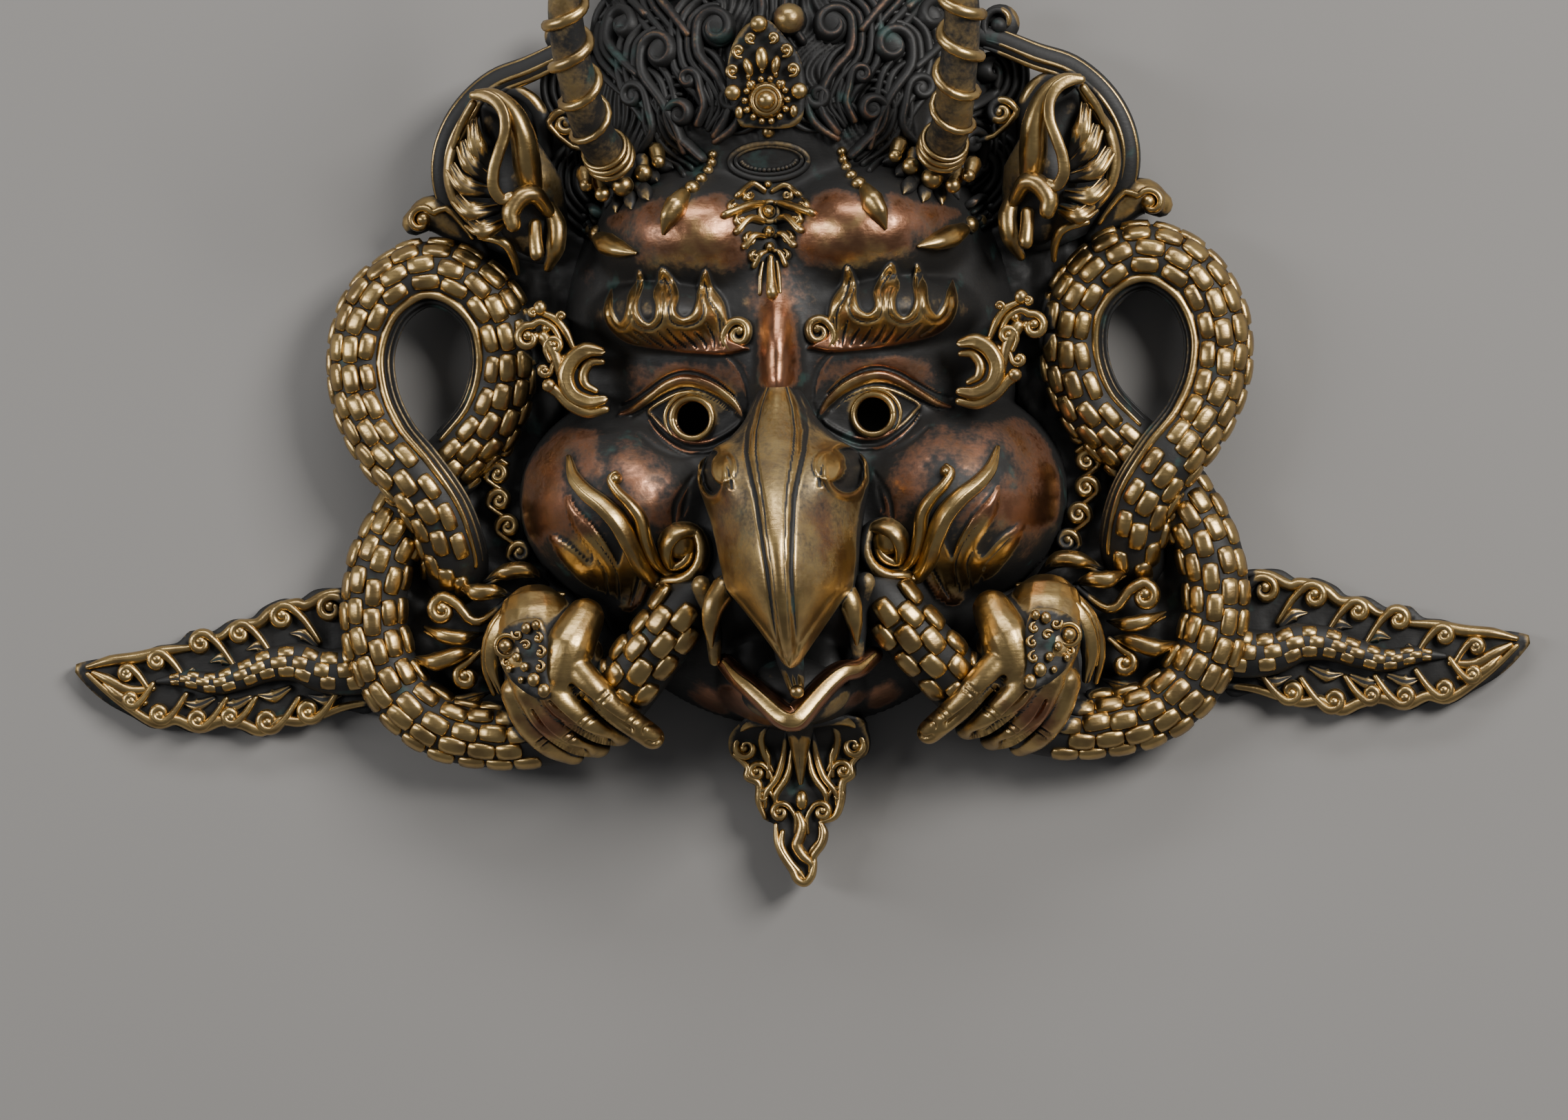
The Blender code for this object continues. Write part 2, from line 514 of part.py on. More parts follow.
def add_locks(shape):
    """Locks of hair that rise behind the jewels and end in scrolls and points."""
    scrolls = (
        ((22.0, 132.0), 6.8, 0.0, 1.1, ((19.0, 108.0), (22.0, 118.0), (28.0, 125.0))),
        ((42.0, 124.5), 6.8, 0.0, 1.1, ((34.0, 100.0), (40.0, 110.0), (48.0, 118.0))),
        ((36.0, 104.0), 5.2, 0.0, 1.1, ((30.0, 88.0), (38.0, 96.0))),
        ((17.0, 110.0), 4.8, 0.0, 1.1, ((27.0, 92.0), (22.0, 101.0))),
        ((12.0, 152.0), 6.0, 180.0, -1.1, ((10.0, 128.0), (5.0, 142.0))),
        ((34.0, 152.0), 6.2, 0.0, 1.1, ((34.0, 132.0), (41.0, 143.0))),
        ((52.0, 140.0), 5.6, 0.0, 1.1, ((50.0, 118.0), (57.0, 130.0))),
        ((22.0, 170.0), 5.4, 0.0, 1.1, ((22.0, 150.0), (28.0, 162.0))),
    )
    for centre, radius, start, turns, stem in scrolls:
        level = ground(centre[0], centre[1]) + 2.0
        disc(shape, centre, radius, level - 14.0, level - 1.0)
        curl(shape, centre, radius, start, turns, level, LOCK_RADIUS)
        last = (centre[0] + radius, centre[1]) if start == 0.0 else (centre[0] - radius, centre[1])
        draped(shape, stem + (last,), (LOCK_RADIUS * 1.2, LOCK_RADIUS), 1.5)
    strands = (
        ((4.0, 118.0), (3.0, 150.0), (1.0, CREST_TOP - 2.0)),
        ((14.0, 122.0), (16.0, 160.0), (10.0, CREST_TOP - 8.0)),
        ((28.0, 112.0), (32.0, 150.0), (25.0, CREST_TOP - 16.0)),
        ((46.0, 104.0), (48.0, 140.0), (41.0, CREST_TOP - 27.0)),
        ((60.0, 100.0), (62.0, 128.0), (58.0, CREST_TOP - 45.0)),
    )
    for foot, middle, tip in strands:
        route = []
        for place in smooth((foot, middle, tip), 6):
            route.append((place[0], place[1], max(ground(place[0], place[1]), 13.0)))
        tube(shape, route, (3.5, 5.0, 4.5, 1.2), sides=8, spans=1)


def beak_station(share):
    """Place along the beak: y, half width, ridge height and lip height."""
    stations = ((8.0, 5.0, 68.0, 58.0), (-4.0, 11.0, 78.0, 57.0), (-15.0, 17.0, 90.0, 57.0),
                (-30.0, 23.5, 103.0, 59.0), (-45.0, 21.5, 110.5, 64.0),
                (-58.0, 18.0, 112.0, 70.0), (-70.0, 10.5, 108.5, 76.0),
                (-80.0, 5.0, 101.0, 81.0), (-86.0, 2.2, 93.0, 83.0), (-88.0, 0.8, 88.0, 84.0))
    path = smooth(stations, 8)
    return path[int(round(share * (len(path) - 1)))]


def add_beak(shape):
    """Hooked upper beak, its ridge, nostril lobes, fangs, lower beak and tongue."""
    block = bmesh.new()
    bmesh.ops.create_grid(block, x_segments=12, y_segments=36, size=1.0)
    for vert in block.verts:
        across, share = vert.co.x, (1.0 - vert.co.y) / 2.0
        y, half, ridge, lip = beak_station(share)
        rise = (1.0 - abs(across) ** 1.7) ** 0.62 if abs(across) < 1.0 else 0.0
        vert.co = Vector((lean(y) + across * half, y, lip + (ridge - lip) * rise)) * MM
    rise = bmesh.ops.extrude_face_region(block, geom=block.faces[:])
    for item in rise["geom"]:
        if isinstance(item, bmesh.types.BMVert):
            y = item.co.y / MM
            drop = 4.0 if y < -62.0 else 26.0
            item.co.z = min(item.co.z, (80.0 if y < -62.0 else 56.0) * MM) - drop * MM
    bmesh.ops.recalc_face_normals(block, faces=block.faces)
    add_block(shape, block)
    ridge = []
    for step in range(12):
        y, _, top, _ = beak_station(step / 11.0)
        ridge.append((lean(y), y, top - 0.8))
    tube(shape, ridge, (BEAK_RIDGE_THICK * 1.6, BEAK_RIDGE_THICK, BEAK_RIDGE_THICK * 0.5))
    for side in (-1.0, 1.0):
        place = (side * NOSTRIL_X + lean(NOSTRIL_Y), NOSTRIL_Y, NOSTRIL_Z)
        ball(shape, place, (8.0, 11.5, 13.0), side * 12.0)
        lip = ((side * 24.0, -57.0, 66.0), (side * 18.0 + 1.0, -64.0, 71.0),
               (side * 10.0 + 2.0, -74.0, 77.0), (side * 2.0 + BEAK_LEAN, -86.0, 83.0))
        tube(shape, lip, (2.2, 2.4, 2.0, 1.4), sides=6)
        fang = ((side * 19.0 + 1.0, -60.0, 68.0), (side * 22.5 + 1.5, -72.0, 69.0),
                (side * 24.0 + 1.5, -84.0, 63.0))
        tube(shape, fang, (FANG_RADIUS, FANG_RADIUS * 0.8, 0.9), sides=8)
        jaw = ((side * 28.0 + 2.0, -90.0, 56.0), (side * 15.0 + 2.5, -92.5, 62.0),
               (side * 9.0 + 3.0, -99.0, 68.0), (BEAK_LEAN, -107.5, 74.0))
        tube(shape, jaw, (2.6, 3.2, 3.4, 3.0), sides=8)
    ball(shape, (BEAK_LEAN, -99.0, 52.0), (17.0, 11.0, 19.0))
    tongue = ((2.0, -76.0, 50.0), (3.0, -88.0, 58.0), (BEAK_LEAN + 1.0, -97.0, 72.0))
    tube(shape, tongue, (5.0, 4.0, 2.4), sides=8)


def add_chin_ornament(shape):
    """Leaf that hangs under the chin, with two pairs of scrolls and a flame tip."""
    at = CHIN_LEAN
    half = ((16.0, -104.0), (24.0, -114.0), (18.0, -124.0), (13.5, -133.0), (9.0, -144.0),
            (8.0, -152.0))
    right = [(at + x, y) for x, y in half]
    left = [(at - x, y) for x, y in reversed(half)]
    plate(shape, right + [(at + 1.0, CHIN_TIP + 1.0)] + left, 8.0, 17.0)
    for side in (-1.0, 1.0):
        for x, y, radius in ((19.0, -115.5, 5.6), (13.5, -125.0, 4.6), (7.0, -138.0, 4.8)):
            centre = (at + side * x, y)
            disc(shape, centre, radius + 1.0, 9.0, 17.0)
            curl(shape, centre, radius, 90.0, -side, 18.5, 1.7)
        rib = ((at + side * 4.0, -110.0, 22.0), (at + side * 6.0, -122.0, 20.0),
               (at + side * 12.0, -133.0, 18.5))
        tube(shape, rib, (2.4, 2.2, 1.6), sides=6)
    tube(shape, ((at, -98.0, 30.0), (at, -112.0, 21.0), (at, -130.0, 19.0)), (8.0, 4.0, 2.6))
    ball(shape, (at, -135.0, 19.0), (3.0, 4.4, 3.4))
    tube(shape, ((at, -140.0, 16.0), (at - 3.5, -149.0, 17.0), (at + 1.0, -156.0, 17.0),
                 (at + 0.5, CHIN_TIP, 13.0)), (2.4, 3.4, 3.2, 1.6), sides=8)


def add_brow_jewels(shape):
    """Jewels on the middle line: drop on the brow, beaded oval and the flower of the crown."""
    draped(shape, ((0.0, 79.0), (0.0, 62.0), (0.0, 47.0)), (4.6, 4.2, 3.2, 1.8), 1.0)
    ball(shape, (0.0, 69.5, ground(0.0, 69.5) + 4.0), (4.4, 4.4, 3.6))
    for side in (-1.0, 1.0):
        for foot_y, tip_x, tip_y in ((72.0, 16.0, 76.0), (68.0, 18.0, 67.5), (64.0, 12.0, 61.0),
                                     (58.0, 8.0, 54.0)):
            route = ((side * 2.0, foot_y), (side * tip_x * 0.6, (foot_y + tip_y) / 2.0 + 2.0),
                     (side * tip_x, tip_y))
            draped(shape, route, (2.6, 2.4, 2.0), 1.2)
    oval = []
    for step in range(21):
        angle = step * math.tau / 20.0
        oval.append((15.0 * math.cos(angle), 87.0 + 6.5 * math.sin(angle)))
    draped(shape, oval, (2.0,), 1.0, 1)
    level = ground(0.0, 108.0) + 4.0
    disc(shape, (0.0, 108.0), 9.0, level - 16.0, level)
    ball(shape, (0.0, 108.0, level), (5.0, 5.0, 4.6))
    for step in range(14):
        angle = step * math.tau / 14.0
        ball(shape, (7.6 * math.cos(angle), 108.0 + 7.6 * math.sin(angle), level), (1.8, 1.8, 2.0))
    plate(shape, ((11.0, 112.0), (11.5, 120.0), (8.0, 128.0), (3.0, 134.0), (-3.0, 134.0),
                  (-8.0, 128.0), (-11.5, 120.0), (-11.0, 112.0)), level - 16.0, level - 2.0)
    for tip_x, tip_y, thick in ((0.0, 125.0, 2.6), (-5.5, 121.0, 2.0), (5.5, 121.0, 2.0)):
        foot = (tip_x * 0.7, 116.5, level)
        tube(shape, (foot, (tip_x, tip_y, level + 1.0)), (thick * 0.7, thick), sides=8)
    for side in (-1.0, 1.0):
        for x, y in ((10.0, 118.5), (8.0, 125.5), (4.0, 130.5), (11.5, 111.0)):
            ball(shape, (side * x, y, level - 1.0), (2.8, 2.8, 2.6))
    ball(shape, (0.0, 134.5, level - 1.0), (3.4, 3.4, 3.4))


def build_outer():
    """Everything that shows, as closed shapes that overlap."""
    half = bmesh.new()
    for add in (add_side_plate, add_serpent, add_tail, add_hand, add_foliage, add_plume, add_ear,
                add_horn, add_drops, add_locks, add_eye, add_brow, add_cheek_scrolls,
                add_temple_ornament):
        add(half)
    mirror_half(half)
    head = field(head_height, (-105.0, -116.0), (105.0, CREST_TOP + 4.0), FIELD_STEP,
                 -SUNK - 2.0, -SUNK)
    add_block(half, head)
    for add in (add_beak, add_chin_ornament, add_brow_jewels):
        add(half)
    return half


def hollow_height(x, y):
    """Height of the inside: the head with a full wall taken off in every direction."""
    inner = head_height(x, y) - WALL
    for share in (0.5, 0.87, 1.0):
        reach = WALL * share
        drop = WALL * math.sqrt(1.0 - share * share)
        for step in range(12):
            angle = step * math.tau / 12.0
            near = head_height(x + reach * math.cos(angle), y + reach * math.sin(angle))
            inner = np.minimum(inner, near - drop)
    return inner


def make_object(name, shape, middle_y):
    """Object from a mesh, with the mask's own middle at the origin."""
    bmesh.ops.translate(shape, vec=(0.0, -middle_y * MM, 0.0), verts=shape.verts)
    mesh = bpy.data.meshes.new(name)
    shape.to_mesh(mesh)
    shape.free()
    thing = bpy.data.objects.new(name, mesh)
    bpy.context.scene.collection.objects.link(thing)
    return thing


def make_cutter(name, shape, middle_y):
    """Object that only cuts another one."""
    thing = make_object(name, shape, middle_y)
    thing.hide_render = True
    thing.display_type = "WIRE"
    return thing


def cut(thing, cutter):
    """Take the cutter out of the thing."""
    modifier = thing.modifiers.new(cutter.name, "BOOLEAN")
    modifier.operation = "DIFFERENCE"
    modifier.solver = "EXACT"
    modifier.object = cutter


def build_holes():
    """Bars for the eye holes and blind pits for the nostrils."""
    shape = bmesh.new()
    for side in (-1.0, 1.0):
        disc(shape, (side * EYE_X, EYE_Y), EYE_HOLE_RADIUS, -SUNK, 100.0)
        place = (side * NOSTRIL_PIT_X + lean(NOSTRIL_PIT_Y), NOSTRIL_PIT_Y, NOSTRIL_PIT_Z)
        reach = (NOSTRIL_PIT_HALF, NOSTRIL_PIT_LENGTH, NOSTRIL_PIT_DEPTH)
        ball(shape, place, reach, side * NOSTRIL_PIT_TURN, 2)
    return shape


def build_ground():
    """Block under the back rim, which leaves the mask flat to lie on."""
    shape = bmesh.new()
    size = Matrix.Diagonal((0.7, 0.6, 0.04, 1.0))
    place = Matrix.Translation((0.0, 0.0, -0.02))
    bmesh.ops.create_cube(shape, size=1.0, matrix=place @ size)
    return shape


def main():
    """Model the mask as one casting."""
    clear_scene()
    outer = build_outer()
    middle_y = (max(v.co.y for v in outer.verts) + min(v.co.y for v in outer.verts)) / 2.0 / MM
    mask = make_object("mask", outer, middle_y)
    remesh = mask.modifiers.new("one skin", "REMESH")
    remesh.mode = "VOXEL"
    remesh.voxel_size = VOXEL * MM
    graph = bpy.context.evaluated_depsgraph_get()
    skin = mask.evaluated_get(graph).to_mesh()
    triangles = sum(len(face.vertices) - 2 for face in skin.polygons)
    fewer = mask.modifiers.new("faceted", "DECIMATE")
    fewer.ratio = OUTER_TRIANGLES / triangles
    fewer.use_collapse_triangulate = True
    foot, head = (-CORE_HALF_WIDTH, CORE_FOOT), (CORE_HALF_WIDTH, CREST_TOP)
    core = field(hollow_height, foot, head, CORE_STEP, -SUNK, 3.0)
    cut(mask, make_cutter("under the rim", build_ground(), 0.0))
    cut(mask, make_cutter("core", core, middle_y))
    cut(mask, make_cutter("holes", build_holes(), middle_y))
    mask.data.materials.append(copper_material("copper alloy"))


main()
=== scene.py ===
"""Looks of a cast copper-alloy garuda mask with horns, ears, hands, serpents and tail fins.

Places are in millimetres on the mask: x to the viewer's right, y up from the line of the eyes,
z out of the flat back rim. Ornament is drawn as the camera sees it, and Sight turns each such
place into the true one on the ground that carries it. The left half mirrors the right one.
"""

import logging
import math
from abc import ABC, abstractmethod
from dataclasses import dataclass, field
from enum import Enum
from typing import Callable, Sequence

import bmesh
import bpy
import numpy as np
from mathutils import Matrix, Vector


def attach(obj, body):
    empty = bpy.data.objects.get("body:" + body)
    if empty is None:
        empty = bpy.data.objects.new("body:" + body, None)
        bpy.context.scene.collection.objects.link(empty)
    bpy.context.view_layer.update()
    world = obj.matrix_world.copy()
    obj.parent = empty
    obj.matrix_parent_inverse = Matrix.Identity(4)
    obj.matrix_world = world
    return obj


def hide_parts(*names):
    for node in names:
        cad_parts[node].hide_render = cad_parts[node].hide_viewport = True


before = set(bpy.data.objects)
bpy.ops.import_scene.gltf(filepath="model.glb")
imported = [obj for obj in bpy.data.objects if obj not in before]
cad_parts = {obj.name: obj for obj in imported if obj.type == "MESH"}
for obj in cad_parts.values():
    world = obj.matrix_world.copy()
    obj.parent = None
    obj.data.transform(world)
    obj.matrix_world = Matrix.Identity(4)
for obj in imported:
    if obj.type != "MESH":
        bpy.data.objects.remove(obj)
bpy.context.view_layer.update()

LOG = logging.getLogger("garuda mask")

# One millimetre in the frame's metres
MM = 0.001
# Height of the row frame's origin over the line of the eyes
MIDDLE_Y = 15.1
# Distance under which two points of a mesh are one
WELD = 0.0001
# Direction out of the face
UP = (0.0, 0.0, 1.0)
# The viewer's right half, then the left one
SIDES = (1.0, -1.0)

Numbers = np.ndarray
Route = Sequence[Sequence[float]]
Colour = tuple[float, float, float]
Span = Sequence[float]
Verts = Sequence[bmesh.types.BMVert]
Socket = bpy.types.NodeSocket
HeightOf = Callable[[Numbers, Numbers], Numbers]


def smooth(points: Route, spans: int = 6) -> Numbers:
    """Points along a smooth curve through the given ones.

    Args:
        points: places of two or three numbers.
        spans: steps between two given places.

    Returns:
        One row for each point of the curve.
    """
    rows = np.array(points, dtype=float)
    ends = np.vstack((2.0 * rows[0] - rows[1], rows, 2.0 * rows[-1] - rows[-2]))
    share = np.linspace(0.0, 1.0, spans, endpoint=False)[:, None]
    stretches = []
    for start in range(len(rows) - 1):
        before, first, second, after = ends[start:start + 4]
        bend = (2.0 * before - 5.0 * first + 4.0 * second - after) * share ** 2
        twist = (3.0 * first - before - 3.0 * second + after) * share ** 3
        stretches.append(0.5 * (2.0 * first + (second - before) * share + bend + twist))
    stretches.append(rows[-1:])
    return np.vstack(stretches)


def spread(values: Span, count: int) -> Numbers:
    """Values run evenly over a count of stations."""
    return np.interp(np.linspace(0.0, 1.0, count), np.linspace(0.0, 1.0, len(values)), values)


def unit(rows: Numbers) -> Numbers:
    """Rows of a length of one."""
    return rows / np.maximum(np.linalg.norm(rows, axis=-1, keepdims=True), 1e-9)


def rows_of(items: bpy.types.bpy_prop_collection, name: str) -> Numbers:
    """Places or directions that a mesh holds, a row for each."""
    rows = np.empty(len(items) * 3)
    items.foreach_get(name, rows)
    return rows.reshape(-1, 3)


def add_object(name: str, data: bpy.types.ID) -> bpy.types.Object:
    """New object in the scene."""
    made = bpy.data.objects.new(name, data)
    bpy.context.scene.collection.objects.link(made)
    return made


def run_lengths(path: Numbers) -> Numbers:
    """Length run up to each point of a path."""
    return np.concatenate(((0.0,), np.cumsum(np.linalg.norm(np.diff(path, axis=0), axis=1))))


def axes(path: Numbers, top: Route | Span = UP) -> tuple[Numbers, Numbers, Numbers]:
    """Directions ahead, sideways and upward at each point of a path."""
    ahead = unit(np.gradient(path, axis=0))
    side = unit(np.cross(ahead, top))
    return ahead, side, np.cross(side, ahead)


def spiral(centre: Span, radius: float, start: float, turns: float,
           inner: float = 0.2) -> list[tuple[float, float]]:
    """Scroll that winds in from its rim.

    Args:
        centre: middle of the scroll.
        radius: reach of its rim.
        start: angle of its first point in degrees.
        turns: turns it makes, below 0 for clockwise.
        inner: last reach as a share of the first.

    Returns:
        Places along it.
    """
    count = int(10 * abs(turns)) + 2
    route = []
    for step in range(count + 1):
        share = step / count
        angle = math.radians(start) + share * turns * math.tau
        reach = radius * (1.0 - (1.0 - inner) * share ** 0.85)
        route.append((centre[0] + reach * math.cos(angle), centre[1] + reach * math.sin(angle)))
    return route


def rough(x: Numbers, y: Numbers, cell: float, seed: int) -> Numbers:
    """Gentle unevenness from -1 to 1 whose lumps are about a cell wide."""
    lattice = np.random.default_rng(seed).uniform(-1.0, 1.0, (64, 64))
    across, up = x / cell, y / cell
    column, row = np.floor(across).astype(int), np.floor(up).astype(int)
    right, top = across - column, up - row
    right = right * right * (3.0 - 2.0 * right)
    top = top * top * (3.0 - 2.0 * top)
    low = lattice[column % 64, row % 64] * (1.0 - right) + lattice[(column + 1) % 64, row % 64] * right
    high = (lattice[column % 64, (row + 1) % 64] * (1.0 - right)
            + lattice[(column + 1) % 64, (row + 1) % 64] * right)
    return low * (1.0 - top) + high * top


@dataclass(frozen=True)
class HeadForm:
    """Bare form of the hollow head, as in the solid."""

    softness: float = 3.0
    wall: float = 5.0
    plate: float = 9.0
    crest_top: float = 196.0
    eye_x: float = 31.0
    eye_y: float = -2.5
    # Middle, reach and top: skull, cheeks, jaw, forehead, brows, nose, chin, crest and its peak
    domes: Sequence[tuple[Span, Span, float]] = (
        ((0, 22), (80, 90), 58), ((54, -30), (42, 38), 62), ((0, -50), (72, 60), 56),
        ((28, 60), (40, 30), 68), ((38, 33), (32, 17), 69), ((0, 14), (15, 44), 67),
        ((0, -90), (30, 22), 64), ((0, 106), (72, 62), 52), ((0, 146), (46, crest_top - 154), 44))
    # Middle, reach and rise: eye socket, eyeball, temple and mouth
    humps: Sequence[tuple[Span, Span, float]] = (
        ((eye_x, eye_y), (19, 13), -9), ((eye_x, eye_y), (10, 8), 5), ((60, 12), (7, 22), -5),
        ((0, -86), (13, 11), -17))

    def dome(self, x: Numbers, y: Numbers, centre: tuple[float, float],
             reach: tuple[float, float], top: float) -> Numbers:
        """Height of half an ellipsoid; it goes below the rim outside its edge."""
        inside = 1.0 - ((x - centre[0]) / reach[0]) ** 2 - ((y - centre[1]) / reach[1]) ** 2
        return top * np.sign(inside) * np.sqrt(np.abs(inside))

    def hump(self, x: Numbers, y: Numbers, centre: tuple[float, float],
             reach: tuple[float, float], rise: float) -> Numbers:
        """Soft rise, or a hollow when rise is negative."""
        return rise * np.exp(-((x - centre[0]) / reach[0]) ** 2 - ((y - centre[1]) / reach[1]) ** 2)

    def height(self, x: Numbers, y: Numbers) -> Numbers:
        """Height of the bare head over the back rim."""
        across = np.abs(x)
        height = self.softness * np.log(sum(np.exp(self.dome(across, y, *form) / self.softness)
                                            for form in self.domes))
        return height + sum(self.hump(across, y, *form) for form in self.humps)

    def ground(self, x: Numbers, y: Numbers) -> Numbers:
        """Height that an ornament rests on: the head or the plate beside it."""
        return np.maximum(self.height(x, y), self.plate)

    def hollow(self, x: Numbers, y: Numbers) -> Numbers:
        """Height of the inside: the head with a full wall taken off in every direction."""
        inner = self.height(x, y) - self.wall
        for share in (0.5, 0.87, 1.0):
            reach = self.wall * share
            drop = self.wall * math.sqrt(1.0 - share * share)
            for step in range(12):
                angle = step * math.tau / 12.0
                near = self.height(x + reach * math.cos(angle), y + reach * math.sin(angle))
                inner = np.minimum(inner, near - drop)
        return inner

    def normal(self, x: Numbers, y: Numbers, reach: float = 2.0) -> Numbers:
        """Direction out of the ground at each place."""
        slope_x = (self.ground(x + reach, y) - self.ground(x - reach, y)) / (2.0 * reach)
        slope_y = (self.ground(x, y + reach) - self.ground(x, y - reach)) / (2.0 * reach)
        steep = np.maximum(1.0, np.hypot(slope_x, slope_y) / 1.4)
        return unit(np.stack((-slope_x / steep, -slope_y / steep, np.ones_like(slope_x)), axis=-1))


@dataclass(frozen=True)
class Sight:
    """The photograph's view: a little from the viewer's right, and a little rolled."""

    distance: float = 2600.0
    turn: float = 4.5
    roll: float = 1.2
    aim_x: float = -4.3
    aim_y: float = -51.6
    seen_shift: float = 2.14
    seen_width: float = 545.8

    def true(self, seen: Numbers) -> Numbers:
        """True places of seen ones, whose third number is the height."""
        scale = 1.0 + seen[:, 2] / self.distance
        slide = math.tan(math.radians(self.turn)) * seen[:, 2] - self.seen_shift
        x = (seen[:, 0] + slide) / scale
        y = self.aim_y + (seen[:, 1] - self.aim_y) / scale
        return np.stack((x, y, seen[:, 2]), axis=-1)

    def grounded(self, seen: Numbers, form: HeadForm) -> Numbers:
        """True places of seen ones that lie on the ground."""
        rows = np.column_stack((seen[:, :2], np.full(len(seen), 40.0)))
        for _ in range(4):
            found = self.true(rows)
            rows[:, 2] = form.ground(found[:, 0], found[:, 1])
        return self.true(rows)

    def flat(self, seen: Route, level: float) -> Numbers:
        """True places (x, y) of seen ones that share a height."""
        return self.true(np.array([(*place, level) for place in seen]))[:, :2]


FORM = HeadForm()
SIGHT = Sight()


class Carving(Enum):
    """Ways to work a line into a height."""

    RIDGE = "raised, round on top"
    GROOVE = "cut in"
    SHELF = "raised flat inside an outline"


@dataclass
class Line:
    """One worked line or outline of a relief, in true places."""

    kind: Carving
    path: Numbers
    halves: Numbers
    depth: float

    def distance(self, x: Numbers, y: Numbers) -> tuple[Numbers, Numbers]:
        """Distance of each place to the line, and the line's half width there."""
        best = np.full(x.shape, 1e9)
        half = np.ones(x.shape)
        count = len(self.path)
        for index in range(count - 1):
            first, second = self.path[index], self.path[index + 1]
            ahead = second - first
            length = max(float(ahead @ ahead), 1e-9)
            share = ((x - first[0]) * ahead[0] + (y - first[1]) * ahead[1]) / length
            share = np.clip(share, 0.0, 1.0)
            away = np.hypot(x - first[0] - share * ahead[0], y - first[1] - share * ahead[1])
            wide = self.halves[index] + (self.halves[index + 1] - self.halves[index]) * share
            closer = away < best
            best = np.where(closer, away, best)
            half = np.where(closer, wide, half)
        return best, half

    def inside(self, x: Numbers, y: Numbers) -> Numbers:
        """Whether each place lies inside the closed outline."""
        within = np.zeros(x.shape, dtype=bool)
        for first, second in zip(self.path, np.roll(self.path, -1, axis=0)):
            crosses = (first[1] > y) != (second[1] > y)
            rise = second[1] - first[1]
            rise = rise if abs(rise) > 1e-9 else 1e-9
            at = first[0] + (y - first[1]) * (second[0] - first[0]) / rise
            within ^= crosses & (x < at)
        return within


@dataclass
class Relief:
    """Low relief that is added to a height, the same on both halves."""

    lines: list[Line] = field(default_factory=list)

    def add(self, kind: Carving, points: Route, halves: Span, depth: float,
            spans: int = 5) -> None:
        """Work one line; points are seen places on the ground."""
        path = SIGHT.grounded(smooth(points, spans), FORM)[:, :2]
        self.lines.append(Line(kind, path, spread(halves, len(path)), depth))

    def ridge(self, points: Route, halves: Span, depth: float) -> None:
        """Raise a round line."""
        self.add(Carving.RIDGE, points, halves, depth)

    def groove(self, points: Route, half: float, depth: float) -> None:
        """Cut a line in, finer at both ends."""
        self.add(Carving.GROOVE, points, (half * 0.5, half, half, half * 0.5), depth)

    def shelf(self, outline: Route, edge: float, depth: float) -> None:
        """Raise what lies inside an outline."""
        closed = list(outline) + [outline[0]]
        self.add(Carving.SHELF, closed, (edge,), depth, 4)

    def height(self, x: Numbers, y: Numbers) -> Numbers:
        """Height that the relief adds at each place."""
        across = np.abs(x)
        raised = np.zeros(x.shape)
        cut = np.zeros(x.shape)
        for line in self.lines:
            reach = line.halves.max() * 2.5 + 0.5
            low, high = line.path.min(axis=0) - reach, line.path.max(axis=0) + reach
            near = np.flatnonzero((across > low[0]) & (across < high[0]) & (y > low[1]) & (y < high[1]))
            if not len(near):
                continue
            away, half = line.distance(across[near], y[near])
            if line.kind is Carving.RIDGE:
                round_top = np.sqrt(np.maximum(0.0, 1.0 - (away / half) ** 2))
                raised[near] = np.maximum(raised[near], line.depth * round_top)
            elif line.kind is Carving.GROOVE:
                cut[near] = np.maximum(cut[near], line.depth * np.exp(-(away / half) ** 2))
            else:
                within = line.inside(across[near], y[near])
                step = np.clip(0.5 + np.where(within, away, -away) / (2.0 * half), 0.0, 1.0)
                step = step * step * (3.0 - 2.0 * step)
                raised[near] = np.maximum(raised[near], line.depth * step)
        return raised - cut


